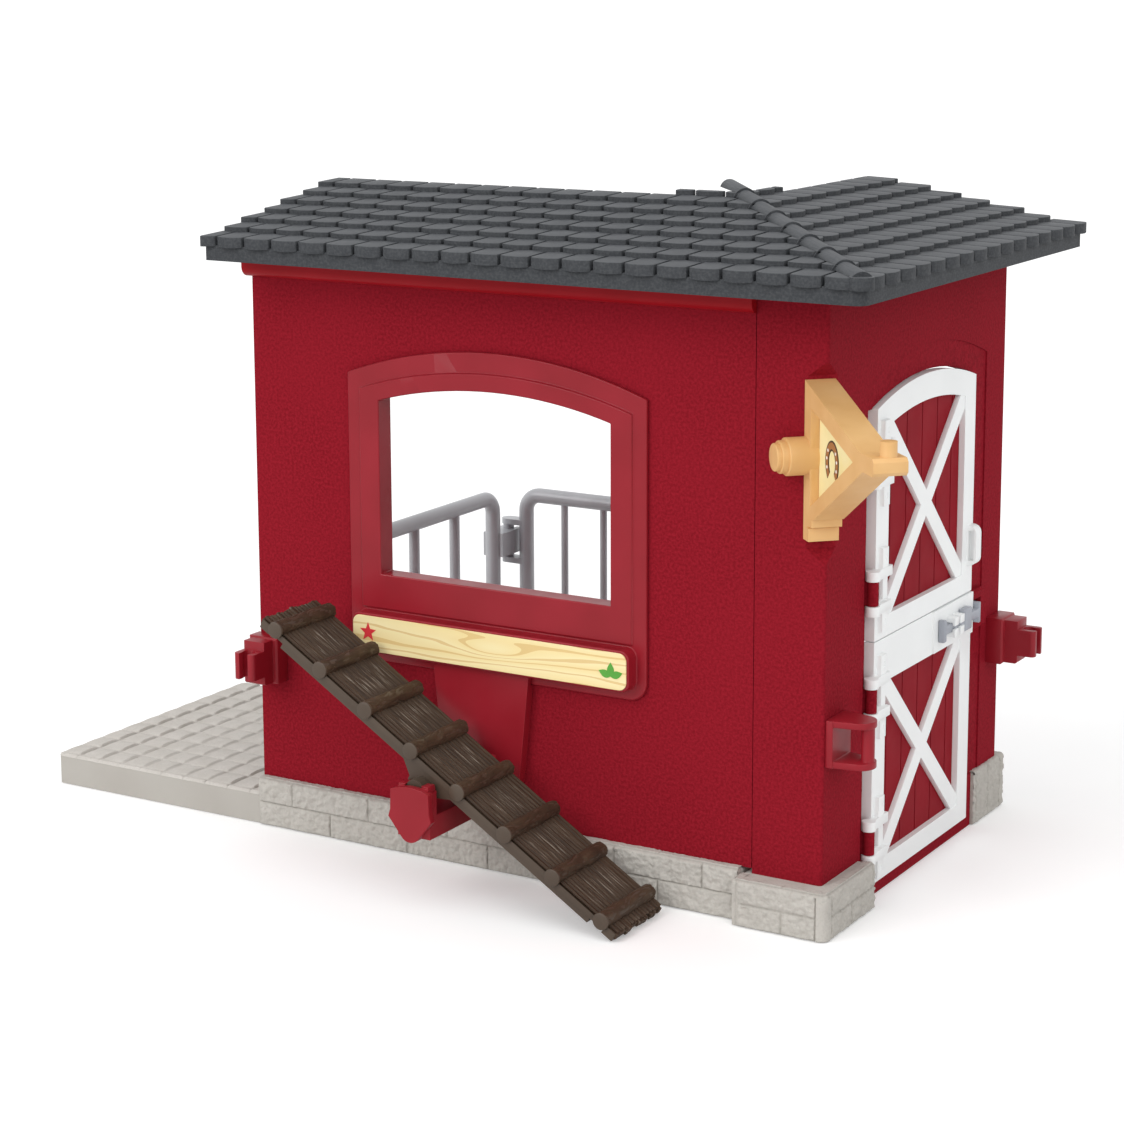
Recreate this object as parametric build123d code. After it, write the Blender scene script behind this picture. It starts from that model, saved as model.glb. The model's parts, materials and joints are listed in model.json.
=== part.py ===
from build123d import *
from math import atan2, degrees, sqrt
import os

# Toy barn: a corner of two walls under a half roof, open at the back. Millimetres, +Z up.
# The origin is on the ground below the outer corner where the two walls meet.
# The window wall runs along -X with its outer face on Y = 0.
# The door wall runs along +Y with its outer face on X = 0.

# ---- walls ----
front_length = 174.0
side_length = 115.1
wall_thickness = 3.0
wall_top = 161.8
column_width = 19.4
column_depth = 23.2
corner_radius = 1.0
seam_gap = 0.2
wall_rib = 2.0
edge_rib_depth = 2.0
corner_web = 9.0
cornice_height = 5.8
cornice_proud = 2.7
cornice_overrun = 1.5
facet_depth = 3.85
facet_bottom = 98.5
facet_top = 141.5
facet_run = 4.0

# ---- plinths and yard plate ----
plinth_height = 13.6
plinth_proud = 2.5
plinth_depth = 9.5
plinth_wall = 2.2
plinth_bevel = 0.8
corner_plinth_height = 12.2
corner_plinth_proud = 6.0
corner_plinth_side_proud = 4.0
corner_plinth_width = 22.0
corner_plinth_depth = 22.8
corner_plinth_round = 2.2
rear_plinth_height = 15.3
rear_plinth_proud = 0.8
rear_plinth_length = 21.9
rear_plinth_overrun = 4.4
yard_length = 75.0
yard_width = 90.0
yard_front = -2.2
yard_thickness = 8.7
yard_skin = 2.0
yard_rib_count = 4
tongue_length = 4.0
tongue_width = 5.0
tongue_height = 4.0
fit_gap = 0.15

# ---- window frame, board and ramp cradle ----
window_centre = -95.7
frame_width = 92.2
frame_bottom = 53.0
frame_crown = 140.4
frame_bow = 8.4
frame_corner = 5.0
frame_proud = 1.2
frame_lap = 3.0
border_width = 4.0
border_proud = 0.6
border_bottom = 67.8
window_border = 10.3
window_sill = 77.4
window_bow = 5.0
board_inset = 2.9
board_bottom = 56.0
board_top = 67.0
board_proud = 5.2
board_corner = 2.5
label_thickness = 0.4
label_margin = 0.6
stem_top_width = 30.0
stem_bottom_width = 23.0
stem_bottom = 22.0
stem_thickness = 3.0
stem_fillet = 5.0

# ---- see-saw ramp ----
pivot_shift = -3.3
pivot_z = 31.0
ramp_tilt = 31.95
ramp_front = -31.8
ramp_width = 23.2
ramp_up_length = 62.3
ramp_down_length = 64.3
ramp_top = 6.1
ramp_plank = 1.6
ramp_skirt = 3.4
ramp_skirt_inset = 0.5
ramp_skirt_thickness = 1.8
ramp_skirt_end = 8.0
ramp_foot = 3.4
ramp_foot_depth = 2.4
rung_count = 8
rung_radius = 2.05
rung_overrun = 0.5
rung_inset = 4.8
axle_radius = 2.8
axle_clearance = 0.06
axle_front_stub = 3.0
axle_rear_stub = 3.2
lug_radius = 4.6
lug_spread = 11.0
arm_half_width = 5.0
arm_bottom = 17.5
arm_top = 24.5
shield_width = 13.2
shield_top = 31.2
shield_tip = 17.6
shield_thickness = 2.0
saddle_thickness = 3.6
saddle_wall = 1.8
prong_rise = 1.6

# ---- doors ----
door_left = 27.5
door_width = 64.6
door_gap = 0.5
door_bottom = 3.8
door_split = 69.1
door_split_gap = 0.3
door_spring = 129.6
door_crown = 134.6
door_proud = 1.05
door_thickness = 2.85
door_skin = 1.75
door_rim = 2.5
hinge_stile = 7.7
latch_stile = 7.1
arch_rail = 7.1
bottom_rail = 5.6
lock_rail = 11.8
brace_width = 4.9
brace_drop = 0.3
panel_plank = 9.9
panel_groove = 0.5
surround_margin = 10.0
surround_recess = 0.4
surround_top_margin = 7.6
surround_bow = 2.7
channel_depth = 1.5
sill_height = 3.0

# ---- door hinges ----
hinge_x = 1.3
hinge_y = 25.5
hinge_heights_lower = (16.4, 54.3)
hinge_heights_upper = (82.5, 115.5)
barrel_radius = 1.55
barrel_length = 6.2
pin_radius = 0.8
pin_clearance = 0.05
lug_thickness = 2.6
lug_gap = 0.15
hinge_lug_radius = 1.9
lug_reach = 9.4
lug_proud = 1.5
strap_height = 5.2
strap_width = 3.6
strap_proud = 1.3
strap_start = 1.7
strap_dimple = 0.8
hinge_slot_start = 2.4
hinge_slot_width = 2.5

# ---- pull tab, bolt and keeper ----
tab_bottom = 77.0
tab_height = 11.2
tab_proud = 2.7
tab_thickness = 3.7
plate_length = 27.1
plate_height = 11.5
plate_proud = 0.65
bolt_z = 63.1
bolt_travel = 3.6
bolt_thickness = 1.6
bolt_gap = 0.1
bolt_rod = 2.4
bolt_grip = 1.5
bolt_grip_height = 6.2
bolt_grip_proud = 2.0
bolt_knob = 5.2
bolt_knob_start = 81.5
bolt_grip_start = 67.6
bolt_web = 1.2
bolt_tip = 1.3
bolt_tip_depth = 1.0
bolt_tip_height = 5.8
guide_width = 2.6
guide_starts = (73.2, 77.2)
guide_lip = 0.8
keeper_length = 9.8
keeper_proud = 1.6
keeper_height = 11.4
keeper_skin = 1.1
keeper_clearance = 0.35

# ---- fence connectors ----
connector_z = 49.0
bar_radius = 1.7
bar_offset = 7.8
column_bar_offset = 9.2
loop_height = 12.2
loop_plate = 1.7
loop_width = 11.0
loop_nose = 8.4
loop_base = 2.0
column_loop_y = 6.6
clip_base_height = 13.0
clip_base_width = 9.6
clip_base_depth = 5.0
clip_neck_height = 12.2
clip_neck_depth = 10.0
jaw_height = 7.4
jaw_wall = 1.7
jaw_length = 2.7
jaw_clearance = 0.06
jaw_mouth = 2.9
left_clip_inset = 4.3
rear_clip_inset = 4.1
rear_clip_z = 51.7
clip_reach = 11.2

# ---- fences ----
fence_inset = 4.5
fence_top = 79.3
fence_bottom = 10.2
fence_tube = 2.3
fence_bend = 5.0
fence_joint_z = 62.0
fence_loop_height = 13.9
fence_loop_offset = 6.6
fence_left_inset = 19.6
fence_right_clip = 5.4
fence_bar = 1.1
fence_bay_count = 10
fence_floor_gap = 0.3
gate_bar = 1.6
gate_hang = 9.2
gate_pitch = 21.7
gate_bay_count = 4

# ---- roof ----
eave = 16.6
ridge = 45.5
fascia_height = 3.8
fascia_corner = 3.2
roof_left_overhang = 2.6
roof_rear_overhang = 12.1
verge_rake = 0.119
rafter_inset = 4.0
course_count = 7
course_depth = 9.0
course_rise = 1.72
tile_overhang = 1.5
tile_pitch = 8.95
first_tile = 4.5
tile_bow = 1.1
front_tile_laps = (0.7, 0.0)
side_tile_laps = (2.2, 4.4)
eave_tile = 2.9
tile_step = 2.9
tile_tail = 1.55
roof_skin = 2.0
rafter_count = 5
ridge_lip = 6.0
cap_count = 8
cap_low_radius = 3.25
cap_high_radius = 2.6
cap_sink = 2.3
cap_lap = 1.2
cap_foot_radius = 3.0
cap_foot_proud = 0.4
apex_reach = 21.0
apex_depth = 2.6

# ---- tack bracket ----
bracket_width = 7.9
bracket_bottom = 101.0
bracket_top = 140.6
post_depth = 4.6
bracket_shift = 0.6
beam_drop = 12.0
beam_height = 4.6
hole_drop = 1.6
hole_tip = 2.6
hole_rise = 8.9
beam_nose = 4.0
strut_start = 6.0
strut_offset = 2.5
foot_steps = ((3.9, 6.0, 6.0), (0.0, 3.3, 3.8))
platform_start = 36.5
platform_end = 47.4
platform_bottom = 125.4
platform_top = 129.6
peg_radius = 2.05
peg_height = 3.6
peg_shift = 2.45
peg_side = 0.8
platform_side = 0.6
knob_z = 121.0
knob_reach = 4.6
knob_steps = ((4.75, -1.0, 4.0), (4.1, 4.0, 5.7), (3.5, 5.7, 7.0))
seat_peg_radius = 2.0
seat_peg_length = 4.0
picture_recess = 2.6
picture_web = 1.4
picture_margin = 0.3
picture_thickness = 0.4

door_right = door_left + door_width
pivot_x = window_centre + pivot_shift
frame_spring = frame_crown - frame_bow
window_width = frame_width - 2 * window_border
window_crown = frame_crown - window_border
window_spring = window_crown - window_bow
board_length = frame_width - 2 * board_inset
rear_plinth_start = side_length + rear_plinth_overrun - rear_plinth_length
left_clip_x = left_clip_inset - front_length
rear_clip_y = side_length - rear_clip_inset
fence_y = side_length - fence_inset
fence_left_post = fence_left_inset - front_length
gate_rear_post = fence_y - gate_hang


def block(x0, x1, y0, y1, z0, z1):
    """A box from its low and high corners."""
    middle = Pos((x0 + x1) / 2, (y0 + y1) / 2, (z0 + z1) / 2)
    return middle * Box(x1 - x0, y1 - y0, z1 - z0)


def rod(start, end, radius):
    """A round bar between two points."""
    line = Vector(*end) - Vector(*start)
    return extrude(Plane(origin=start, z_dir=line) * Circle(radius), amount=line.length)


def upright(x, y, z0, z1, radius):
    return Pos(x, y, (z0 + z1) / 2) * Cylinder(radius, z1 - z0)


def arched_face(centre, width, bottom, spring, crown, corner=0.0):
    """A panel outline with a bowed top, drawn with its height along local Y."""
    half = width / 2
    low_left, low_right = (centre - half, bottom), (centre + half, bottom)
    high_right, high_left = (centre + half, spring), (centre - half, spring)
    sides = Polyline(high_left, low_left, low_right, high_right)
    bow = ThreePointArc(high_right, (centre, crown), high_left)
    face = make_face(sides + bow)
    if corner:
        face = fillet(face.vertices().sort_by(Axis.Y)[:2], corner)
    return face


def plate(plane, face, inner, outer):
    """The face as a slab between two distances along the plane's normal."""
    return extrude(plane.offset(inner) * face, amount=outer - inner)


front_plane = Plane.XZ
side_plane = Plane.YZ
window_arch = (window_centre, window_width, window_sill, window_spring, window_crown)


# ---------------------------------------------------------------- walls

def body_arch(grow):
    """The outline of the window frame's body where it passes through the wall."""
    inset = frame_lap - grow
    return arched_face(window_centre, frame_width - 2 * inset, frame_bottom + inset,
                       frame_spring - inset / 2, frame_crown - inset, frame_corner - inset / 2)


def cornice():
    """The moulding under the eave: a flat lip that rounds back to the wall below."""
    low, mid = wall_top - cornice_height, wall_top - cornice_height * 0.55
    proud = cornice_proud
    round_off = ThreePointArc((0, low), (-proud * 0.75, low + (mid - low) * 0.35), (-proud, mid))
    back = Polyline((-proud, mid), (-proud, wall_top), (0, wall_top), (0, low))
    left = -front_length - cornice_overrun
    return extrude(Plane.YZ.offset(left) * make_face(round_off + back),
                   amount=-column_width - seam_gap - left)


def front_wall():
    right = -column_width - seam_gap
    wall = block(-front_length, right, 0, wall_thickness, plinth_height, wall_top)
    back = wall_thickness + edge_rib_depth
    wall += block(-front_length, -front_length + wall_rib, 0, back, plinth_height, wall_top)
    wall += block(-front_length, right, 0, back, wall_top - wall_rib, wall_top)
    wall += cornice()
    wall -= plate(front_plane, body_arch(fit_gap), -back - 1, 1)
    return wall


def corner_cut(leg, z):
    """A triangle outside the 45 degree line that leaves this much of each wall's edge."""
    return Plane.XY.offset(z) * make_face(Polyline((1, -1), (1, leg + 1), (-leg - 1, -1), close=True))


def corner_facet():
    """What is cut off the column's corner to make the flat seat for the tack bracket."""
    leg = facet_depth * sqrt(2)
    cut = extrude(corner_cut(leg, facet_bottom), amount=facet_top - facet_bottom)
    for z, way in ((facet_bottom, -1), (facet_top, 1)):
        cut += loft([corner_cut(leg, z), corner_cut(0.05, z + way * facet_run)])
    return cut


def hinge_barrel(z):
    low, high = z - barrel_length / 2, z + barrel_length / 2
    barrel = upright(hinge_x, hinge_y, low, high, barrel_radius)
    barrel += block(-channel_depth - 0.5, hinge_x, hinge_y - 1.0, hinge_y + 1.0, low, high)
    barrel -= upright(hinge_x, hinge_y, low - 1, high + 1, pin_radius + pin_clearance)
    return barrel


def keeper():
    """The boss on the jamb whose skin the tip of the bolt slides behind."""
    far = door_right + door_gap + keeper_length
    low = bolt_z - keeper_height / 2
    boss = block(-0.5, keeper_proud, door_right + door_gap, far, low, low + keeper_height)
    upper = boss.edges().filter_by(Axis.X).sort_by(Axis.Z)[-2:].sort_by(Axis.Y)[-1]
    boss = chamfer(upper, 2.6)
    return chamfer(boss.faces().sort_by(Axis.X)[-1].edges().sort_by(Axis.Y)[1:], 0.7)


def keeper_notch():
    """An open notch by the door's edge, and the slot that goes on from it behind the skin."""
    edge = door_right + door_gap
    notch_end = edge + bolt_web + bolt_travel + keeper_clearance
    slot_end = notch_end + bolt_tip + keeper_clearance
    deep = keeper_skin - keeper_proud
    back = deep - bolt_tip_depth - 2 * keeper_clearance
    half = bolt_tip_height / 2 + keeper_clearance
    notch = block(back, keeper_proud + 1, edge - 1, notch_end, bolt_z - half, bolt_z + half)
    return notch + block(back, -deep, edge, slot_end, bolt_z - half, bolt_z + half)


def door_outline(grow, bottom):
    """The doorway's bowed outline grown all round, from a height up."""
    return arched_face(door_left + door_width / 2, door_width + 2 * grow, bottom,
                       door_spring + grow / 2, door_crown + grow)


def door_wall():
    """Corner column and door wall in one moulding."""
    front = block(-column_width, 0, 0, wall_thickness, corner_plinth_height, wall_top)
    side = block(-wall_thickness, 0, 0, side_length, 0, wall_top)
    side -= block(-wall_thickness - 1, 1, -1, corner_plinth_depth + fit_gap, -1, corner_plinth_height)
    side -= block(-wall_thickness - 1, 1, rear_plinth_start - fit_gap, side_length + 1, -1,
                  rear_plinth_height)
    wall = front + side
    inner, reach = wall_thickness, wall_thickness + corner_web
    web = make_face(Polyline((-inner, inner), (-reach, inner), (-inner, reach), close=True))
    wall += extrude(Plane.XY.offset(corner_plinth_height) * web, amount=wall_top - corner_plinth_height)
    wall = fillet(outer_corner_edge(wall), corner_radius)
    wall -= corner_facet()
    back = -wall_thickness - edge_rib_depth
    wall += block(back, -wall_thickness, side_length - wall_rib, side_length, rear_plinth_height, wall_top)
    wall += block(back, -wall_thickness, wall_thickness, side_length, wall_top - wall_rib, wall_top)
    surround = arched_face(door_left + door_width / 2, door_width + 2 * surround_margin, 0.0,
                           door_spring + surround_top_margin - surround_bow,
                           door_crown + surround_top_margin)
    surround_slab = plate(side_plane, surround, -surround_recess, 1)
    wall -= surround_slab & block(-1, 2, column_depth, side_length, rear_plinth_height, wall_top)
    wall -= block(-channel_depth, 1, column_depth, door_left - door_gap + 0.01, 0, door_spring)
    wall -= plate(side_plane, door_outline(door_gap, sill_height), -wall_thickness - 1, 1)
    for z in hinge_heights_lower + hinge_heights_upper:
        wall += hinge_barrel(z)
    return wall + keeper() - keeper_notch() - to_corner(bracket_peg(fit_gap))


def outer_corner_edge(wall):
    """The upright edge where the two outer faces meet."""
    uprights = wall.edges().filter_by(Axis.Z)
    return uprights.sort_by_distance((0, 0, wall_top / 2))[0]


# ---------------------------------------------------------------- base

def hollow(solid, x0, x1, y0, y1, height, cells_x, cells_y):
    """Pockets cut from below, so that only a skin and cross ribs are left."""
    wide = (x1 - x0 - plinth_wall) / cells_x
    deep = (y1 - y0 - plinth_wall) / cells_y
    for i in range(cells_x):
        for j in range(cells_y):
            left, near = x0 + plinth_wall + i * wide, y0 + plinth_wall + j * deep
            solid -= block(left, left + wide - plinth_wall, near, near + deep - plinth_wall, -1, height)
    return solid


def bevelled_block(x0, x1, y0, y1, z1):
    body = block(x0, x1, y0, y1, 0, z1)
    return chamfer(body.faces().sort_by(Axis.Z)[-1].edges(), plinth_bevel)


def front_plinth():
    left, right = -front_length, -corner_plinth_width - fit_gap
    body = bevelled_block(left, right, -plinth_proud, plinth_depth, plinth_height)
    body = hollow(body, left, right, -plinth_proud, plinth_depth, plinth_height - plinth_wall, 6, 1)
    wide, gap = tongue_width / 2 + fit_gap, fit_gap
    middle = (plinth_depth - plinth_proud) / 2
    body -= block(left - 1, left + plinth_wall + 1, middle - wide, middle + wide, -1, tongue_height + 2 + gap)
    return body


def corner_plinth():
    left, right = -corner_plinth_width, corner_plinth_side_proud
    near, far = -corner_plinth_proud, corner_plinth_depth
    body = block(left, right, near, far, 0, corner_plinth_height)
    outer = body.edges().filter_by(Axis.Z).sort_by_distance((right, near, corner_plinth_height / 2))[0]
    body = fillet(outer, corner_plinth_round)
    body = chamfer(body.faces().sort_by(Axis.Z)[-1].edges(), plinth_bevel)
    body -= block(left - 1, -plinth_depth, plinth_depth, far + 1, -1, corner_plinth_height + 1)
    top = corner_plinth_height - plinth_wall
    body -= block(left + plinth_wall, -plinth_wall, near + plinth_wall, -plinth_wall / 2, -1, top)
    body -= block(left + plinth_wall, -plinth_wall, plinth_wall / 2, plinth_depth - plinth_wall, -1, top)
    body -= block(-plinth_depth + plinth_wall, right - plinth_wall, plinth_depth, far - plinth_wall, -1, top)
    return body


def rear_plinth():
    left, right = -2 * wall_thickness, rear_plinth_proud
    near, far = rear_plinth_start, side_length + rear_plinth_overrun
    body = bevelled_block(left, right, near, far, rear_plinth_height)
    return hollow(body, left, right, near, far, rear_plinth_height - plinth_wall, 1, 2)


def yard_plate():
    right = -front_length - fit_gap
    left, far = right - yard_length, yard_front + yard_width
    body = block(left, right, yard_front, far, 0, yard_thickness)
    body = fillet(body.edges().filter_by(Axis.Z).sort_by(Axis.X)[:2], 2.0)
    body = fillet(body.faces().sort_by(Axis.Z)[-1].edges().sort_by(Axis.X)[:-1], 0.8)
    body = hollow(body, left, right, yard_front, far, yard_thickness - yard_skin, 2, yard_rib_count)
    middle = (plinth_depth - plinth_proud) / 2
    half = tongue_width / 2
    return body + block(right - plinth_wall, right + tongue_length, middle - half, middle + half,
                        2, 2 + tongue_height)


# ---------------------------------------------------------------- window frame and board

def window_frame():
    flange = arched_face(window_centre, frame_width, frame_bottom, frame_spring, frame_crown, frame_corner)
    border = arched_face(window_centre, frame_width - 2 * border_width, border_bottom,
                         frame_spring - border_width, frame_crown - border_width * 1.4)
    frame = plate(front_plane, flange, 0, frame_proud)
    frame += plate(front_plane, body_arch(0), -wall_thickness - frame_proud, 0)
    frame += plate(front_plane, border, 0, frame_proud + border_proud)
    middle = (board_bottom + board_top) / 2
    box = front_plane * (Pos(window_centre, middle) * RectangleRounded(
        board_length, board_top - board_bottom, board_corner))
    frame += extrude(box, amount=board_proud)
    frame -= plate(front_plane, arched_face(*window_arch), -10, 10)
    return frame


def board_label():
    middle = (board_bottom + board_top) / 2
    face = Pos(window_centre, middle) * RectangleRounded(
        board_length - 2 * label_margin, board_top - board_bottom - 2 * label_margin,
        board_corner - label_margin / 2)
    return plate(front_plane, face, board_proud, board_proud + label_thickness)


def shield_face():
    """Shield outline: bowed top, straight sides, flared shoulders and a rounded tip."""
    half = shield_width / 2
    shoulder = shield_tip + (shield_top - shield_tip) * 0.46
    top = ThreePointArc((pivot_x - half + 0.8, shield_top), (pivot_x, shield_top + 1.2),
                        (pivot_x + half - 0.8, shield_top))
    right = Polyline((pivot_x + half - 0.8, shield_top), (pivot_x + half - 0.6, shoulder + 2),
                     (pivot_x + half, shoulder), (pivot_x + half * 0.42, shield_tip + 1.5))
    tip = ThreePointArc((pivot_x + half * 0.42, shield_tip + 1.5), (pivot_x, shield_tip),
                        (pivot_x - half * 0.42, shield_tip + 1.5))
    left = Polyline((pivot_x - half * 0.42, shield_tip + 1.5), (pivot_x - half, shoulder),
                    (pivot_x - half + 0.6, shoulder + 2), (pivot_x - half + 0.8, shield_top))
    return make_face(top + right + tip + left)


def saddle(near, far):
    """An open seat that holds the axle from below and grips it past its middle."""
    outer = axle_radius + axle_clearance + saddle_wall
    seat = rod((pivot_x, near, pivot_z), (pivot_x, far, pivot_z), outer)
    seat += block(pivot_x - arm_half_width, pivot_x + arm_half_width, near, far, arm_bottom + 2, pivot_z)
    seat -= rod((pivot_x, near - 1, pivot_z), (pivot_x, far + 1, pivot_z), axle_radius + axle_clearance)
    return seat - block(pivot_x - 9, pivot_x + 9, near - 1, far + 1, pivot_z + prong_rise, pivot_z + 9)


def ramp_cradle():
    top, half_top, half_low = board_bottom - fit_gap, stem_top_width / 2, stem_bottom_width / 2
    outline = make_face(Polyline(
        (pivot_x - half_top, top), (pivot_x - half_low, stem_bottom),
        (pivot_x + half_low, stem_bottom), (pivot_x + half_top, top), close=True))
    outline = fillet(outline.vertices().sort_by(Axis.Y)[:2], stem_fillet)
    body = plate(front_plane, outline, 0, stem_thickness)
    flange = arched_face(window_centre, frame_width + 2 * fit_gap, frame_bottom - fit_gap, frame_spring,
                         frame_crown, frame_corner)
    body -= plate(front_plane, flange, -1, frame_proud + fit_gap)
    ramp_back = ramp_front + ramp_width
    front_face = ramp_front - fit_gap * 2
    shield_back = front_face - axle_front_stub - fit_gap * 2
    body += block(pivot_x - arm_half_width, pivot_x + arm_half_width, shield_back, -1,
                  arm_bottom + 1, arm_top)
    body += saddle(shield_back, front_face)
    body += saddle(ramp_back + fit_gap * 2, -stem_thickness + 0.5)
    shield = plate(front_plane, shield_face(), -shield_back, -shield_back + shield_thickness)
    return body + shield


# ---------------------------------------------------------------- see-saw ramp

def ramp_side(near, far):
    """One skirt of the ramp with the lug that comes down to the axle."""
    under = ramp_top - ramp_plank
    low = ramp_top - ramp_skirt
    left, right = -ramp_up_length + ramp_skirt_end, ramp_down_length - ramp_skirt_end
    skirt = block(left, right, near, far, low, under)
    lug = make_face(Polyline((-lug_spread, under), (-lug_radius, 0), (lug_radius, 0),
                             (lug_spread, under), close=True))
    cheek = extrude(Plane.XZ.offset(-far) * lug, amount=far - near)
    return skirt + cheek + rod((0, near, 0), (0, far, 0), lug_radius)


def seesaw_ramp():
    back = ramp_front + ramp_width
    under = ramp_top - ramp_plank
    ramp = block(-ramp_up_length, ramp_down_length, ramp_front, back, under, ramp_top)
    inset = ramp_skirt_inset
    ramp += ramp_side(ramp_front + inset, ramp_front + inset + ramp_skirt_thickness)
    ramp += ramp_side(back - inset - ramp_skirt_thickness, back - inset)
    foot = ramp_top - ramp_foot_depth
    for end in (-ramp_up_length, ramp_down_length - ramp_foot):
        ramp += block(end, end + ramp_foot, ramp_front, back, foot, under)
    span = ramp_up_length + ramp_down_length - 2 * rung_inset
    for i in range(rung_count):
        x = -ramp_up_length + rung_inset + span * i / (rung_count - 1)
        log = rod((x, ramp_front - rung_overrun, ramp_top + 0.5), (x, back + rung_overrun, ramp_top + 0.5),
                  rung_radius)
        ramp += log - block(x - 5, x + 5, ramp_front - 2, back + 2, 0, under)
    ramp += rod((0, ramp_front - axle_front_stub, 0), (0, back + axle_rear_stub, 0), axle_radius)
    return Pos(pivot_x, 0, pivot_z) * Rot(0, ramp_tilt, 0) * ramp


# ---------------------------------------------------------------- doors

def door_half(grow, low, high):
    """The part of the doorway outline between two heights, as a face."""
    if high > door_split:
        return door_outline(grow, low)
    middle = Pos(door_left + door_width / 2, (low + high) / 2)
    return middle * Rectangle(door_width + 2 * grow, high - low)


def bow_drop(half):
    """How far the door's bow has come down at a distance from its middle."""
    reach, rise = door_width / 2, door_crown - door_spring
    radius = (reach * reach + rise * rise) / (2 * rise)
    return radius - sqrt(radius * radius - half * half)


def field_face(low, high):
    """The open field of a door leaf inside its stiles and rails."""
    left, right = door_left + hinge_stile, door_right - latch_stile
    if high > door_split:
        top = door_crown - arch_rail
        return arched_face((left + right) / 2, right - left, low, top - bow_drop((right - left) / 2), top)
    return Pos((left + right) / 2, (low + high) / 2) * Rectangle(right - left, high - low)


def brace(start, end):
    along = Vector(*end) - Vector(*start)
    middle = (Vector(*start) + Vector(*end)) * 0.5
    return Pos(middle.X, middle.Y) * Rot(0, 0, degrees(atan2(along.Y, along.X))) * Rectangle(
        along.length + 12, brace_width)


def door_frame(low, high, field_low, field_high):
    """White leaf frame: front skin with crossed braces, and a rim behind it."""
    back, skin = door_proud - door_thickness, door_proud - door_skin
    outline = door_half(0, low, high)
    rim_hole = door_half(-door_rim, low + door_rim, high - door_rim)
    frame = plate(side_plane, outline - field_face(field_low, field_high), skin, door_proud)
    frame += plate(side_plane, outline - rim_hole, back, skin)
    left, right = door_left + hinge_stile, door_right - latch_stile
    top = min(field_high, door_crown - arch_rail - bow_drop((right - left) / 2))
    cross = brace((left, field_low), (right, top)) + brace((left, top), (right, field_low))
    cross &= field_face(field_low, field_high)
    return frame + plate(side_plane, cross, skin, door_proud - brace_drop)


def door_panel(low, high):
    """Red plank panel that fills the rim behind the frame."""
    back, skin = door_proud - door_thickness, door_proud - door_skin
    face = door_half(-door_rim - fit_gap, low + door_rim + fit_gap, high - door_rim - fit_gap)
    panel = plate(side_plane, face, back, skin)
    planks = round((door_width - 2 * door_rim) / panel_plank)
    pitch = (door_width - 2 * door_rim) / planks
    for i in range(1, planks):
        y = door_left + door_rim + i * pitch
        panel -= block(skin - 0.4, skin + 1, y - panel_groove / 2, y + panel_groove / 2, low, high + 9)
    return panel


def hinge_lugs(z):
    """Two lugs with the pin between them, and the raised straps above and below."""
    half = barrel_length / 2 + lug_gap
    near = door_left + strap_start
    middle = near + strap_width / 2
    part = upright(hinge_x, hinge_y, z - half, z + half, pin_radius)
    for way in (-1, 1):
        z0, z1 = sorted((z + way * half, z + way * (half + lug_thickness)))
        part += upright(hinge_x, hinge_y, z0, z1, hinge_lug_radius)
        part += block(hinge_x - 1.1, door_proud + lug_proud, hinge_y, door_left + lug_reach - 2, z0, z1)
        s0, s1 = sorted((z + way * (half + lug_thickness), z + way * (half + lug_thickness + strap_height)))
        front = door_proud + strap_proud
        strap = block(door_proud - 0.2, front, near, near + strap_width, s0, s1)
        centre = (s0 + s1) / 2
        part += strap - block(front - 0.3, front + 1, middle, middle + strap_dimple,
                              centre - strap_dimple, centre + strap_dimple)
    return part


def hinge_slot(z):
    """The slot beside a barrel that lets the leaf be pushed on."""
    near = door_left + hinge_slot_start
    return block(door_proud - door_skin, door_proud + 1, near, near + hinge_slot_width,
                 z - barrel_length / 2, z + barrel_length / 2)


def pull_tab():
    """A rounded tab on the latch stile with a finger scoop in the side towards the hinge."""
    near, top = door_right - 0.3 - tab_thickness, tab_bottom + tab_height
    out = door_proud + tab_proud
    outline = make_face(Polyline((door_proud - 0.2, tab_bottom), (door_proud - 0.2, top), (out, top),
                                 (out, tab_bottom), close=True))
    outline = fillet(outline.vertices().sort_by(Axis.X)[-2:], 2.2)
    tab = extrude(Plane.XZ.offset(-near - tab_thickness) * outline, amount=tab_thickness)
    scoop = block(door_proud + 0.3, door_proud + tab_proud - 0.8, near - 1, near + 1.4,
                  tab_bottom + 1.4, top - 1.4)
    return tab - scoop


def upper_door_frame():
    low, high = door_split + door_split_gap / 2, door_crown
    frame = door_frame(low, high, low + bottom_rail, door_crown - arch_rail)
    for z in hinge_heights_upper:
        frame = frame - hinge_slot(z) + hinge_lugs(z)
    return frame + pull_tab()


def bolt_guide(y):
    """A pair of hooks that hold the rod of the bolt down on its plate."""
    seat = door_proud + plate_proud
    over = seat + bolt_gap + bolt_thickness + bolt_gap
    part = None
    for way in (-1, 1):
        inner = bolt_z + way * (bolt_rod / 2 + bolt_gap)
        outer = inner + way * 1.4
        lip = bolt_z + way * (bolt_rod / 2 - 0.7)
        hook = block(seat - 0.1, over + guide_lip, y, y + guide_width, *sorted((inner, outer)))
        hook += block(over, over + guide_lip, y, y + guide_width, *sorted((lip, outer)))
        part = hook if part is None else part + hook
    return part


def lower_door_frame():
    low, high = door_bottom, door_split - door_split_gap / 2
    frame = door_frame(low, high, low + bottom_rail, high - lock_rail)
    seat = door_proud + plate_proud
    frame += block(door_proud - 0.2, seat, door_right - plate_length, door_right, high - plate_height, high)
    for y in guide_starts:
        frame += bolt_guide(y)
    for z in hinge_heights_lower:
        frame = frame - hinge_slot(z) + hinge_lugs(z)
    return frame


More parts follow.
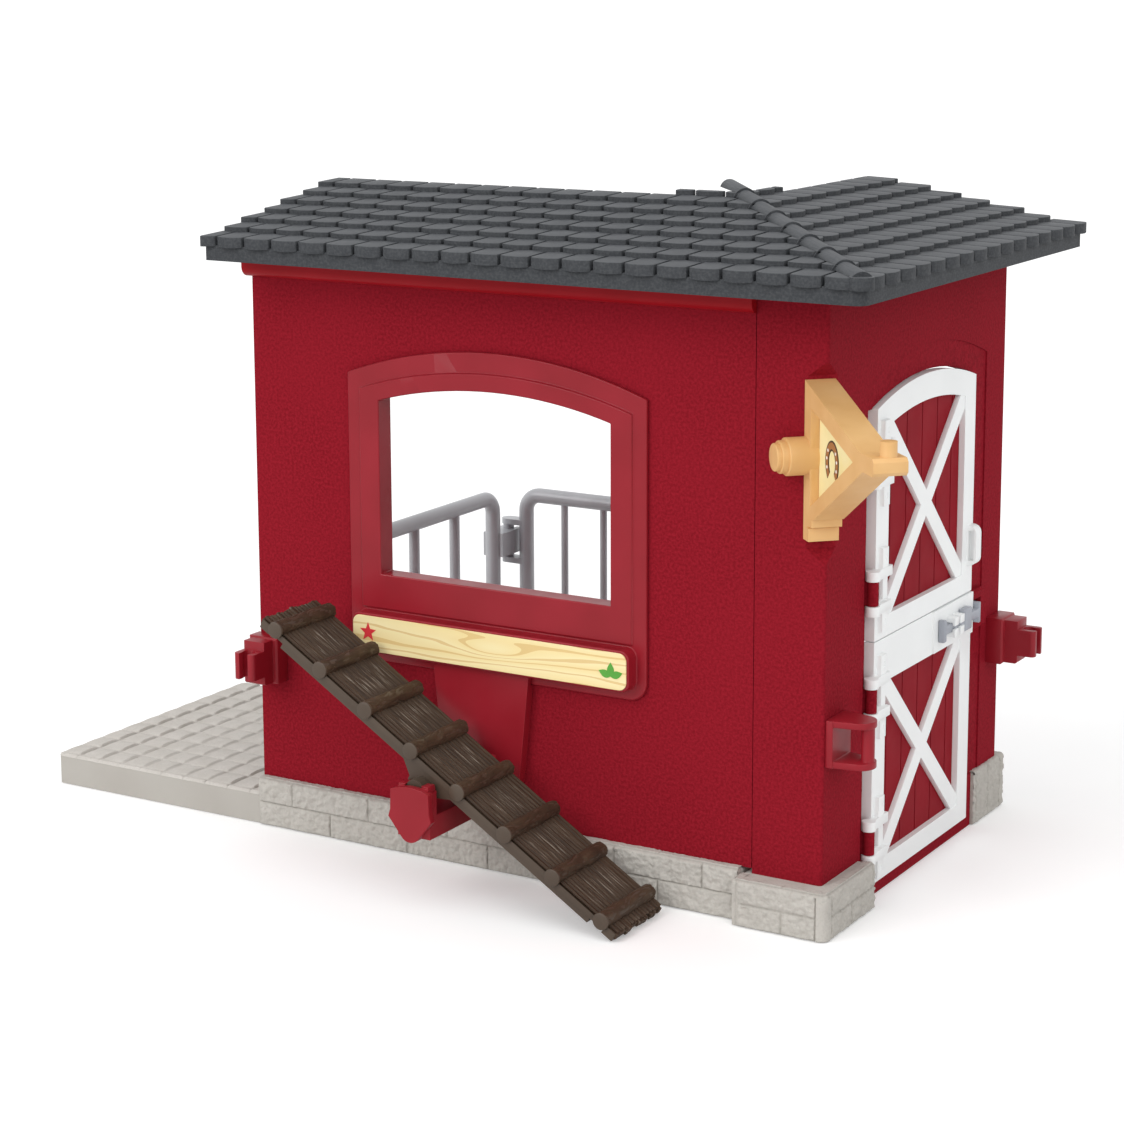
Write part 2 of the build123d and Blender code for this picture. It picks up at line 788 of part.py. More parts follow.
def door_bolt():
    seat = door_proud + plate_proud + bolt_gap
    top = seat + bolt_thickness
    half_rod, half_grip, half_tip = bolt_rod / 2, bolt_grip_height / 2, bolt_tip_height / 2
    web = door_right + door_gap - 0.2
    skin = keeper_proud - keeper_skin
    tip_top, tip_low = skin - keeper_clearance, skin - keeper_clearance - bolt_tip_depth
    bolt = block(seat, top, bolt_grip_start, web + bolt_web, bolt_z - half_rod, bolt_z + half_rod)
    for start, length in ((bolt_grip_start, bolt_grip), (bolt_knob_start, bolt_knob)):
        lump = block(seat, seat + bolt_grip_proud, start, start + length,
                     bolt_z - half_grip, bolt_z + half_grip)
        bolt += chamfer(lump.faces().sort_by(Axis.X)[-1].edges(), 0.4)
    for outer, length in ((top, bolt_web), (tip_top, bolt_web + bolt_tip)):
        bolt += block(tip_low, outer, web, web + length, bolt_z - half_tip, bolt_z + half_tip)
    return bolt


# ---------------------------------------------------------------- fence connectors
# Each is drawn with its upright bar or its jaw on the local Z axis and its seat towards local +X.

def rail_loop(offset, width, height, nose=None):
    """Two rounded plates that hold an upright bar off their seat, narrowing to the nose's width."""
    nose = nose or width
    centre = -offset_centre(offset, nose)
    outline = make_face(Polyline((0, -width / 2), (centre, -nose / 2)) +
                        ThreePointArc((centre, -nose / 2), (centre - nose / 2, 0), (centre, nose / 2)) +
                        Polyline((centre, nose / 2), (0, width / 2), (0, -width / 2)))
    low = extrude(Plane.XY.offset(-height / 2) * outline, amount=loop_plate)
    high = extrude(Plane.XY.offset(height / 2 - loop_plate) * outline, amount=loop_plate)
    loop = low + high + upright(-offset, 0, -height / 2, height / 2, bar_radius)
    return Pos(offset, 0, 0) * loop


def offset_centre(offset, width):
    """Where the rounded end of a loop's plate has its centre, measured from the seat."""
    return offset + bar_radius + 0.3 - width / 2


def rail_jaw(reach, height):
    """Two plates joined behind an upright bar, with lips that close over it."""
    inner = bar_radius + jaw_clearance
    outer = inner + jaw_wall
    jaw = block(-jaw_length, reach, -outer, outer, -height / 2, height / 2)
    jaw = fillet(jaw.edges().filter_by(Axis.Z).sort_by(Axis.X)[:2], 1.2)
    jaw -= Cylinder(inner, height + 2)
    return jaw - block(-jaw_length - 1, 0, -jaw_mouth / 2, jaw_mouth / 2, -height, height)


def wall_clip(reach):
    """A jaw on a stepped block, as it stands on a wall's outer face."""
    neck_half = bar_radius + jaw_clearance + jaw_wall
    base = block(reach - clip_base_depth, reach, -clip_base_width / 2, clip_base_width / 2,
                 -clip_base_height / 2, clip_base_height / 2)
    base = chamfer(base.faces().sort_by(Axis.X)[0].edges(), 0.5)
    neck = block(reach - clip_neck_depth, reach, -neck_half, neck_half,
                 -clip_neck_height / 2, clip_neck_height / 2)
    neck = chamfer(neck.edges().filter_by(Axis.Y).sort_by(Axis.X)[:2].sort_by(Axis.Z)[0], 1.6)
    room = block(-jaw_length - 1, bar_radius + 0.6, -9, 9, -clip_neck_height, clip_neck_height)
    return base + (neck - room) + rail_jaw(reach, jaw_height)


def left_clip():
    return Pos(left_clip_x, -clip_reach, connector_z) * Rot(0, 0, 90) * wall_clip(clip_reach)


def rear_clip():
    return Pos(clip_reach, rear_clip_y, rear_clip_z) * Rot(0, 0, 180) * wall_clip(clip_reach)


def column_loop():
    offset = column_bar_offset
    loop = rail_loop(offset, loop_width, loop_height, loop_nose)
    loop += block(offset - loop_base, offset, -loop_width / 2, loop_width / 2,
                  -loop_height / 2, loop_height / 2)
    return Pos(offset, column_loop_y, connector_z) * Rot(0, 0, 180) * loop


def stall_loop():
    """The loop on the inner face of the door wall that the rear fence hangs on."""
    x = -wall_thickness - bar_offset
    return Pos(x, fence_y, fence_joint_z) * rail_loop(bar_offset, 2 * fence_tube, fence_loop_height)


# ---------------------------------------------------------------- fences

def tube_frame(plane, left, right, bottom, top):
    """A closed ring of tube with rounded corners."""
    low, high = bottom + fence_tube, top - fence_tube
    middle = Pos((left + right) / 2, (low + high) / 2)
    path = (plane * middle * RectangleRounded(right - left, high - low, fence_bend)).wire()
    return sweep(Plane(origin=path @ 0, z_dir=path % 0) * Circle(fence_tube), path=path)


def rear_fence():
    left_post, right_post = fence_left_post, -wall_thickness - bar_offset - fence_right_clip
    low, high = fence_bottom + fence_tube, fence_top - fence_tube
    plane = Plane(origin=(0, fence_y, 0), x_dir=(1, 0, 0), z_dir=(0, -1, 0))
    hoop = plane * FilletPolyline((left_post, fence_floor_gap), (left_post, high), (right_post, high),
                                  (right_post, fence_floor_gap), radius=fence_bend)
    fence = sweep(Plane(origin=hoop @ 0, z_dir=hoop % 0) * Circle(fence_tube), path=hoop)
    fence += rod((left_post, fence_y, low), (right_post, fence_y, low), fence_tube * 0.9)
    pitch = (right_post - left_post) / fence_bay_count
    for i in range(1, fence_bay_count):
        fence += upright(left_post + i * pitch, fence_y, low, high, fence_bar)
    corner_x = fence_left_post - fence_loop_offset
    loop = rail_loop(fence_loop_offset, 2 * fence_tube, fence_loop_height)
    jaw = rail_jaw(fence_right_clip, jaw_height)
    fence += Pos(corner_x, fence_y, fence_joint_z) * loop
    return fence + Pos(-wall_thickness - bar_offset, fence_y, fence_joint_z) * Rot(0, 0, 180) * jaw


def side_gate():
    x = fence_left_post - fence_loop_offset
    near_post = gate_rear_post - gate_pitch * gate_bay_count
    plane = Plane(origin=(x, 0, 0), x_dir=(0, 1, 0), z_dir=(1, 0, 0))
    gate = tube_frame(plane, near_post, gate_rear_post, fence_bottom, fence_top)
    for i in range(1, gate_bay_count):
        y = near_post + i * gate_pitch
        gate += upright(x, y, fence_bottom + fence_tube, fence_top - fence_tube, gate_bar)
    jaw = rail_jaw(fence_y - gate_rear_post, jaw_height)
    gate += Pos(x, fence_y, fence_joint_z) * Rot(0, 0, -90) * jaw
    loop = rail_loop(fence_loop_offset, 2 * fence_tube, fence_loop_height)
    return gate + Pos(x, near_post - fence_loop_offset, fence_joint_z) * Rot(0, 0, 90) * loop


# ---------------------------------------------------------------- roof

eave_top = wall_top + fascia_height
tiled_depth = course_count * course_depth
slope = course_rise / course_depth
tile_start = -eave - tile_overhang


def deck(y):
    """Height of the roof deck above the ground at a distance in from the eave line."""
    return eave_top + slope * (y - tile_start)


def mitred(body, length):
    """The wing cut off along the hip line that runs at 45 degrees from the corner."""
    reach = length + 80
    keep = make_face(Polyline((reach, -reach), (-reach, reach), (-reach, -reach), close=True))
    return body & extrude(Plane.XY.offset(wall_top - 40) * keep, amount=100)


def swapped(body):
    """The same wing over the other wall: mirrored in the hip plane."""
    return mirror(body, about=Plane(origin=(0, 0, 0), z_dir=(1, 1, 0)))


def raked(body, length, rake):
    """The wing cut off along its verge, which leans in towards the ridge."""
    near, far = -eave - 9, ridge + 9
    gone = make_face(Polyline((-length + rake * (near + eave), near), (-length + rake * (far + eave), far),
                              (-length - 40, far), (-length - 40, near), close=True))
    return body - extrude(Plane.XY.offset(wall_top - 40) * gone, amount=100)


def deck_wing(length, rake):
    """Roof deck over one wall: fascia, sloping skin, ridge lip and rafters."""
    outer = Polyline((-eave, wall_top), (-eave, deck(-eave)), (ridge, deck(ridge)),
                     (ridge, deck(ridge) - ridge_lip), (ridge - roof_skin, deck(ridge) - ridge_lip),
                     (ridge - roof_skin, deck(ridge) - roof_skin), (-eave + roof_skin, deck(-eave) - 1.2),
                     (-eave + roof_skin, wall_top), close=True)
    full = Polyline((-eave, wall_top), (-eave, deck(-eave)), (ridge, deck(ridge)),
                    (ridge, wall_top + 2), (ridge - 12, wall_top), close=True)
    long = length + eave + ridge
    skin = extrude(Plane.YZ.offset(-length) * make_face(outer), amount=long)
    end = length - rake * (ridge + eave + rafter_inset)
    pitch = (end - ridge + 1.5 * roof_skin) / (rafter_count - 1)
    for i in range(rafter_count):
        skin += extrude(Plane.YZ.offset(i * pitch - end) * make_face(full), amount=roof_skin)
    skin -= block(-length - 1, long, 0 - fit_gap, wall_thickness + edge_rib_depth + fit_gap,
                  wall_top - 1, wall_top + 0.01)
    return mitred(raked(skin, length, rake), length)


def course_end(index, wing):
    """How far along the wing a course of tiles runs past the corner."""
    length, rake, laps = wing
    if index == course_count:
        return ridge + apex_reach
    return length + laps[index % 2] - rake * course_depth * index


def course_face(index, wing):
    """Plan outline of one course of tiles, its lower edge a row of bowed tile ends."""
    near = tile_start + index * course_depth
    far = near + course_depth + 1.5 if index < course_count - 1 else ridge
    if index == course_count:
        far = near + apex_depth
    left = -course_end(index, wing)
    x, right = left, left + first_tile + (index % 2) * tile_pitch / 2
    edge = None
    while x < eave + tile_overhang + tile_pitch:
        bow = ThreePointArc((x, near + tile_bow), ((x + right) / 2, near), (right, near + tile_bow))
        edge = bow if edge is None else edge + bow
        x, right = right, right + tile_pitch
    sides = Polyline((x, near + tile_bow), (x, far), (left, far), (left, near + tile_bow))
    return make_face(edge + sides)


def course(index, wing):
    """One course of tiles: a wedge that rises a step above the course below."""
    near = tile_start + index * course_depth
    far = near + course_depth + 1.5
    base, front, rise = course_heights(index)
    slant = rise / course_depth
    section = Polyline((near - 1, base), (near - 1, front - slant), (far, front + slant * (far - near)),
                       (far, deck(far)), (near, base), close=True)
    long = course_end(index, wing) + 1
    prism = extrude(Plane.YZ.offset(-long) * make_face(section), amount=long + eave + 20)
    plan = extrude(Plane.XY.offset(wall_top - 5) * course_face(index, wing), amount=60)
    return plan & prism


def corner_foot(grow):
    """The round foot of the hip at the eave, and the square corner of tiles that it replaces."""
    centre = eave + tile_overhang + cap_foot_proud - cap_foot_radius
    foot = upright(centre, -centre, eave_top, eave_top + eave_tile + 0.2, cap_foot_radius + grow)
    if grow:
        foot += block(centre, centre + 9, -centre - 9, -centre, eave_top - 1, eave_top + eave_tile + 9)
    return foot


def tile_slope(wing):
    tiles = course(0, wing)
    for index in range(1, course_count + 1):
        tiles += course(index, wing)
    return mitred(tiles, front_length) - corner_foot(0.05)


def roof_shell():
    front = deck_wing(front_length + roof_left_overhang, 0.0)
    side = swapped(deck_wing(side_length + roof_rear_overhang, verge_rake))
    centre = eave - fascia_corner
    corner = block(centre, eave + 1, -eave - 1, -centre, wall_top - 1, wall_top + 30)
    return front + side - (corner - upright(centre, -centre, wall_top - 2, wall_top + 31, fascia_corner))


def front_tiles():
    return tile_slope((front_length + roof_left_overhang, 0.0, front_tile_laps))


def side_tiles():
    return swapped(tile_slope((side_length + roof_rear_overhang, verge_rake, side_tile_laps)))


def hip_caps():
    """Lapped half-round caps along the hip, each wider at its lower end, over a round foot."""
    caps = corner_foot(0)
    first = eave + tile_overhang + cap_foot_proud - cap_foot_radius
    start = Vector(first, -first, deck(-first) + tile_step - cap_sink)
    last = first - course_depth * cap_count
    end = Vector(last, -last, deck(-last) + tile_step - cap_sink)
    run = end - start
    step = run.length / cap_count
    way = run.normalized()
    for i in range(cap_count):
        foot = start + way * (i * step - (cap_lap if i else 0))
        plane = Plane(origin=foot, z_dir=way)
        low = plane * Circle(cap_low_radius)
        high = plane.offset(step + cap_lap) * Circle(cap_high_radius)
        caps += loft([low, high])
    top = Pos(0, 0, wall_top + fascia_height) * Pos(0, 0, 30) * Box(400, 400, 60)
    return (caps & top) - below_tiles(0.05)


def course_heights(index):
    """Height of a course at its lower edge, and its rise over the next course's depth."""
    base = eave_top if index == 0 else deck(tile_start + index * course_depth)
    front = base + (eave_tile if index == 0 else tile_step)
    return base, front, deck(tile_start + (index + 1) * course_depth) + tile_tail - front


def along_both_walls(points):
    """A long solid of one section under each side of the roof, mitred at the hip."""
    reach = ridge + 30
    section = make_face(Polyline(*points, (reach, 0), (-eave - 20, 0), close=True))
    wing = mitred(extrude(Plane.YZ.offset(-reach - 30) * section, amount=reach + eave + 90), 60)
    return wing + swapped(wing)


def below_tiles(lift):
    """Everything under the tile surfaces on both sides of the hip, for the caps to sit on."""
    top = [(tile_start - lift, 0)]
    for index in range(course_count + 1):
        near = tile_start + index * course_depth
        base, front, rise = course_heights(index)
        top += [(near - lift, front + lift), (near + course_depth - lift, front + rise + lift)]
    tiles = along_both_walls(top + [(ridge + 30, front + rise + lift)])
    decks = along_both_walls([(-eave - 20, deck(-eave - 20)), (ridge + 30, deck(ridge + 30))])
    return tiles - corner_foot(0.01) + decks


# ---------------------------------------------------------------- tack bracket
# Drawn flat: local X runs outwards from the corner facet, local Z is up, local Y is the thickness.

def to_corner(part):
    return Rot(0, 0, -45) * Pos(-facet_depth, -bracket_shift, 0) * part


def bracket_hole(margin):
    """The triangle between post, beam and strut."""
    low, high = bracket_bottom + hole_rise + margin, bracket_top - beam_height - hole_drop - margin
    near, tip = post_depth + margin, platform_start - hole_tip - 2 * margin
    return make_face(Polyline((near, low), (near, high), (tip, platform_bottom + 1.1), close=True))


def tack_bracket():
    half = bracket_width / 2
    tip = platform_start
    beam_tip = bracket_top - beam_drop
    outline = make_face(Polyline((0, bracket_bottom + strut_start), (0, bracket_top),
                                 (tip + beam_nose, beam_tip + 0.4), (tip + beam_nose, platform_bottom),
                                 (post_depth + strut_offset, bracket_bottom + strut_start), close=True))
    frame = extrude(Plane.XZ.offset(-half) * outline, amount=bracket_width)
    frame -= extrude(Plane.XZ.offset(half - picture_recess) * bracket_hole(0), amount=picture_recess + 1)
    frame -= extrude(Plane.XZ.offset(-half - 1) * bracket_hole(0),
                     amount=bracket_width + 1 - picture_web - picture_recess)
    for low, high, depth in foot_steps:
        frame += block(0, depth, -half, half, bracket_bottom + low, bracket_bottom + high)
    frame += block(0, foot_steps[1][2] - 1.2, -half, half, bracket_bottom, bracket_bottom + strut_start + 1)
    platform = block(tip, platform_end, -half, half + platform_side, platform_bottom, platform_top)
    platform = chamfer(platform.edges().filter_by(Axis.Y).sort_by(Axis.X)[-2:], 0.9)
    frame += platform
    peg_x = (platform_start + platform_end) / 2 + peg_shift
    frame += upright(peg_x, peg_side, platform_top - 0.5, platform_top + peg_height, peg_radius)
    return to_corner(frame + side_knob(half) + bracket_peg(0))


def bracket_peg(grow):
    """The peg behind the post that goes into the corner, grown by a fit."""
    return rod((-seat_peg_length - grow, 0, knob_z), (0.2, 0, knob_z), seat_peg_radius + grow)


def side_knob(half):
    """Stepped round knob that stands out of the bracket's side."""
    knob = None
    for radius, near, far in knob_steps:
        disc = rod((knob_reach, -half - near, knob_z), (knob_reach, -half - far, knob_z), radius)
        knob = disc if knob is None else knob + disc
    return knob


def bracket_picture():
    deep = bracket_width / 2 - picture_recess
    return to_corner(extrude(Plane.XZ.offset(deep) * bracket_hole(picture_margin), amount=picture_thickness))


pieces = {
    "front_wall": front_wall,
    "door_wall": door_wall,
    "front_plinth": front_plinth,
    "corner_plinth": corner_plinth,
    "rear_plinth": rear_plinth,
    "yard_plate": yard_plate,
    "window_frame": window_frame,
    "board_label": board_label,
    "ramp_cradle": ramp_cradle,
    "seesaw_ramp": seesaw_ramp,
    "upper_door_frame": upper_door_frame,
    "lower_door_frame": lower_door_frame,
    "door_bolt": door_bolt,
    "left_clip": left_clip,
    "rear_clip": rear_clip,
    "column_loop": column_loop,
    "stall_loop": stall_loop,
    "rear_fence": rear_fence,
    "side_gate": side_gate,
    "roof_shell": roof_shell,
    "front_tiles": front_tiles,
    "side_tiles": side_tiles,
    "hip_caps": hip_caps,
    "tack_bracket": tack_bracket,
    "bracket_picture": bracket_picture,
}
door_panels = {
    "upper_door_panel": (door_split + door_split_gap / 2, door_crown),
    "lower_door_panel": (door_bottom, door_split - door_split_gap / 2),
}

os.makedirs("parts", exist_ok=True)
for name, make in pieces.items():
    export_step(make(), f"parts/{name}.step")
for name, (low, high) in door_panels.items():
    export_step(door_panel(low, high), f"parts/{name}.step")
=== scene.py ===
import json
import math
import random

import bmesh
import bpy
from mathutils import Matrix, Vector


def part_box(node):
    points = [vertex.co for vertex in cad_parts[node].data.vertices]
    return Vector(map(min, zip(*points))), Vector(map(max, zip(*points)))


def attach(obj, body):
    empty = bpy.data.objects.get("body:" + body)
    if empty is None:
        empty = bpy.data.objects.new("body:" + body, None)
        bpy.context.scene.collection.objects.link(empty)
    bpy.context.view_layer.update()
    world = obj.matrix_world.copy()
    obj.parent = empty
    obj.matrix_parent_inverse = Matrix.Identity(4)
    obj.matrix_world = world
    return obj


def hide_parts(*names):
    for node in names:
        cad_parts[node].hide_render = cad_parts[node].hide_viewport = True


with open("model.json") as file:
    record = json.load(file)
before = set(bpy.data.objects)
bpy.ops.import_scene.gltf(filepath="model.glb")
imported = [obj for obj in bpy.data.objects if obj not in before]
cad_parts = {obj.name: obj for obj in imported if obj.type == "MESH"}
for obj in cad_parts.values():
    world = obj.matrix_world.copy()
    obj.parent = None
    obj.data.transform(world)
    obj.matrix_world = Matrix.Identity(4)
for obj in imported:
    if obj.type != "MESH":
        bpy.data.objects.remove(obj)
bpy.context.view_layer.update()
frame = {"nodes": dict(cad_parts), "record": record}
nodes = frame["nodes"]
mm = 0.001
print("frame loaded:", len(nodes), "nodes")


def srgb(code):
    values = [int(code[i:i + 2], 16) / 255 for i in (0, 2, 4)]
    return tuple(v / 12.92 if v <= 0.04045 else ((v + 0.055) / 1.055) ** 2.4 for v in values) + (1.0,)


def add(tree, kind, **settings):
    # a setting in small letters is the node's own, any other is one of its sockets
    node = tree.nodes.new(kind)
    for label, value in settings.items():
        if label.islower():
            setattr(node, label, value)
        elif isinstance(value, bpy.types.NodeSocket):
            tree.links.new(value, node.inputs[label.replace("_", " ")])
        else:
            node.inputs[label.replace("_", " ")].default_value = value
    return node


def calc(tree, kind, first, *others):
    # takes the values in turn, so three values make two nodes
    for other in others or (0.0,):
        node = add(tree, "ShaderNodeMath", operation=kind)
        for socket, value in zip(node.inputs, (first, other)):
            if isinstance(value, bpy.types.NodeSocket):
                tree.links.new(value, socket)
            else:
                socket.default_value = value
        first = node.outputs[0]
    return first


def axes(tree, vector):
    outputs = add(tree, "ShaderNodeSeparateXYZ", Vector=vector).outputs
    return outputs["X"], outputs["Y"], outputs["Z"]


def startMaterial(name, look):
    material = bpy.data.materials.new(name)
    material.use_nodes = True
    tree = material.node_tree
    shader = tree.nodes["Principled BSDF"]
    shader.inputs["Roughness"].default_value = look["roughness"]
    shader.inputs["Specular IOR Level"].default_value = look["specular"]
    shader.inputs["Metallic"].default_value = look.get("metallic", 0.0)
    return material, tree, shader, tree.nodes.new("ShaderNodeTexCoord").outputs["Object"]


def mapped(tree, place, scale=(1, 1, 1), turn=(0, 0, 0), move=(0, 0, 0)):
    return add(tree, "ShaderNodeMapping", vector_type="TEXTURE", Vector=place, Location=move,
               Rotation=turn, Scale=scale).outputs["Vector"]


def noise(tree, place, grain, detail=2.0, roughness=0.5, distortion=0.0):
    # grain is the size of the spots in millimetres
    return add(tree, "ShaderNodeTexNoise", Vector=place, Scale=1000.0 / grain, Detail=detail,
               Roughness=roughness, Distortion=distortion).outputs["Fac"]


def ranged(tree, value, low, high, to=(0.0, 1.0)):
    return add(tree, "ShaderNodeMapRange", Value=value, From_Min=low, From_Max=high,
               To_Min=to[0], To_Max=to[1]).outputs["Result"]


def blended(tree, amount, first, second):
    # each side is a colour code or a colour from another node
    node = add(tree, "ShaderNodeMix", data_type="RGBA")
    tree.links.new(amount, node.inputs[0])
    for label, value in (("A", first), ("B", second)):
        socket = [s for s in node.inputs if s.name == label and s.type == "RGBA"][0]
        if isinstance(value, str):
            socket.default_value = srgb(value)
        else:
            tree.links.new(value, socket)
    return [s for s in node.outputs if s.type == "RGBA"][0]


def raised(tree, shader, height, depth, under=None):
    # depth in millimetres
    normal = add(tree, "ShaderNodeBump", Strength=1.0, Distance=depth * mm, Height=height)
    if under is not None:
        tree.links.new(under, normal.inputs["Normal"])
    tree.links.new(normal.outputs["Normal"], shader.inputs["Normal"])
    return normal.outputs["Normal"]


def sparkedPlastic(name, look):
    material, tree, shader, place = startMaterial(name, look)
    fine = noise(tree, place, look["grain"], 2.0, 0.6)
    tone = blended(tree, ranged(tree, fine, 0.35, 0.65), look["dark"], look["light"])
    broad = ranged(tree, noise(tree, place, look["patch"]), 0.3, 0.7, (0.0, 0.35))
    tone = blended(tree, broad, tone, look["light"])
    tree.links.new(tone, shader.inputs["Base Color"])
    raised(tree, shader, fine, look["depth"])
    return material


def smoothPlastic(name, look):
    look = {"specular": 0.3, "patch": 18.0, "wear": 6.0, "ripple": 2.2, "depth": 0.012, **look}
    material, tree, shader, place = startMaterial(name, look)
    broad = noise(tree, place, look["patch"], 3.0)
    tone = blended(tree, ranged(tree, broad, 0.3, 0.7), look["dark"], look["light"])
    tree.links.new(tone, shader.inputs["Base Color"])
    worn = ranged(tree, noise(tree, place, look["wear"], 3.0), 0.3, 0.7,
                  (look["roughness"] - 0.04, look["roughness"] + 0.05))
    tree.links.new(worn, shader.inputs["Roughness"])
    raised(tree, shader, noise(tree, place, look["ripple"]), look["depth"])
    return material


def castStone(name, look):
    # the attribute "joint" is 1 in the joints between the stones
    look = {"roughness": 0.86, "specular": 0.2, "mottle": 5.0, "lump": 2.0, "pitSize": 0.7, **look}
    material, tree, shader, place = startMaterial(name, look)
    mottle = noise(tree, place, look["mottle"], 4.0, 0.65)
    pits = noise(tree, place, look["pitSize"], 3.0, 0.6)
    tone = blended(tree, ranged(tree, mottle, 0.32, 0.68), look["dark"], look["light"])
    tone = blended(tree, ranged(tree, pits, 0.35, 0.5, (0.3, 0.0)), tone, look["pit"])
    joints = add(tree, "ShaderNodeAttribute", attribute_name="joint").outputs["Fac"]
    tone = blended(tree, calc(tree, "MULTIPLY", joints, look["jointShade"]), tone, look["joint"])
    tree.links.new(tone, shader.inputs["Base Color"])
    under = raised(tree, shader, noise(tree, place, look["lump"], 4.0, 0.6), look["relief"])
    raised(tree, shader, pits, look["relief"] * 0.4, under)
    return material


def slateGrey(name, look):
    # painted shade: faces that don't look up get the darker edge colour, so the tops read lighter than the
    # tiles' front edges, as if lit from above
    material, tree, shader, place = startMaterial(name, look)
    broad = noise(tree, place, look["patch"], 3.0)
    fine = noise(tree, place, look["grain"], 2.0, 0.6)
    paintedTopLight = ranged(tree, axes(tree, tree.nodes["Texture Coordinate"].outputs["Normal"])[2], 0.2, 0.9)
    tone = blended(tree, ranged(tree, broad, 0.3, 0.7), look["dark"], look["light"])
    # painted shade: the edge colour darkens every face that doesn't look up
    tone = blended(tree, paintedTopLight, look["edge"], tone)
    tone = blended(tree, ranged(tree, fine, 0.4, 0.7, (0.0, 0.25)), tone, look["fleck"])
    tree.links.new(tone, shader.inputs["Base Color"])
    layers = noise(tree, mapped(tree, place, look["stretch"]), look["line"])
    under = raised(tree, shader, layers, look["layers"])
    raised(tree, shader, fine, look["depth"], under)
    return material


def barkBrown(name, look, turn):
    look = {"roughness": 0.62, "specular": 0.35, "patch": 7.0, **look}
    material, tree, shader, place = startMaterial(name, look)
    lines = noise(tree, mapped(tree, place, look["stretch"], turn), look["line"], 4.0, 0.65, 0.4)
    broad = noise(tree, place, look["patch"], 3.0)
    tone = blended(tree, ranged(tree, broad, 0.3, 0.7), look["dark"], look["mid"])
    dry = calc(tree, "MULTIPLY", ranged(tree, lines, 0.52, 0.7), ranged(tree, broad, 0.42, 0.62), look["dry"])
    tone = blended(tree, dry, tone, look["pale"])
    tree.links.new(tone, shader.inputs["Base Color"])
    raised(tree, shader, lines, look["depth"])
    return material


def printedWood(name, look):
    # thin lines that flow along the board and part around one slim eye
    material, tree, shader, place = startMaterial(name, look)
    x, _, z = axes(tree, mapped(tree, place, (mm, mm, mm), (0, 0, 0), look["heart"]))
    reach = [calc(tree, "POWER", calc(tree, "ABSOLUTE", calc(tree, "DIVIDE", value, size)), 2.0)
             for value, size in ((x, look["eyeLong"]), (z, look["eyeTall"]))]
    fade = calc(tree, "EXPONENT", calc(tree, "MULTIPLY", calc(tree, "ADD", *reach), -1.0))
    drift = noise(tree, mapped(tree, place, look["stretch"]), look["drift"], 2.0, 0.4)
    parted = calc(tree, "ADD", calc(tree, "MULTIPLY", fade, look["eyeRings"]),
                  calc(tree, "MULTIPLY", drift, look["sway"]))
    flow = calc(tree, "ADD", calc(tree, "DIVIDE", z, look["spacing"]), parted)
    body = calc(tree, "MULTIPLY", ranged(tree, drift, 0.35, 0.65, (0.15, 0.55)), look["thickness"])
    line = calc(tree, "LESS_THAN", calc(tree, "PINGPONG", flow, 0.5), body)
    bands = ranged(tree, calc(tree, "PINGPONG", calc(tree, "MULTIPLY", flow, 0.5), 0.5), 0.0, 0.5)
    tone = blended(tree, bands, look["pale"], look["mid"])
    tone = blended(tree, calc(tree, "MULTIPLY", line, look["lineShade"]), tone, look["line"])
    tree.links.new(tone, shader.inputs["Base Color"])
    return material


def rampPlank(name, look, turn):
    # brown planks: dark seams along the length and pale scratches in the middle of each bay
    material, tree, shader, place = startMaterial(name, look)
    along, across, _ = axes(tree, mapped(tree, place, (mm, mm, mm), turn, look["pivot"]))
    stretched = mapped(tree, place, look["stretch"], turn)
    lines = noise(tree, stretched, look["line"], 3.0, 0.6)
    broad = noise(tree, stretched, look["patch"], 3.0)
    tone = blended(tree, ranged(tree, broad, 0.3, 0.7), look["dark"], look["mid"])
    tone = blended(tree, ranged(tree, lines, 0.36, 0.48, (0.8, 0.0)), tone, look["seam"])
    bay = calc(tree, "PINGPONG", calc(tree, "SUBTRACT", along, look["firstLog"]), look["bay"] / 2)
    inBay = ranged(tree, bay, look["bay"] * 0.2, look["bay"] * 0.34)
    aside = calc(tree, "ABSOLUTE", calc(tree, "SUBTRACT", across, look["middle"]))
    inMiddle = ranged(tree, aside, look["wide"] * 0.5, look["wide"] * 0.3)
    dry = calc(tree, "MULTIPLY", ranged(tree, lines, 0.56, 0.66), inBay, inMiddle, look["dry"])
    tone = blended(tree, dry, tone, look["pale"])
    tree.links.new(tone, shader.inputs["Base Color"])
    raised(tree, shader, lines, look["depth"])
    return material


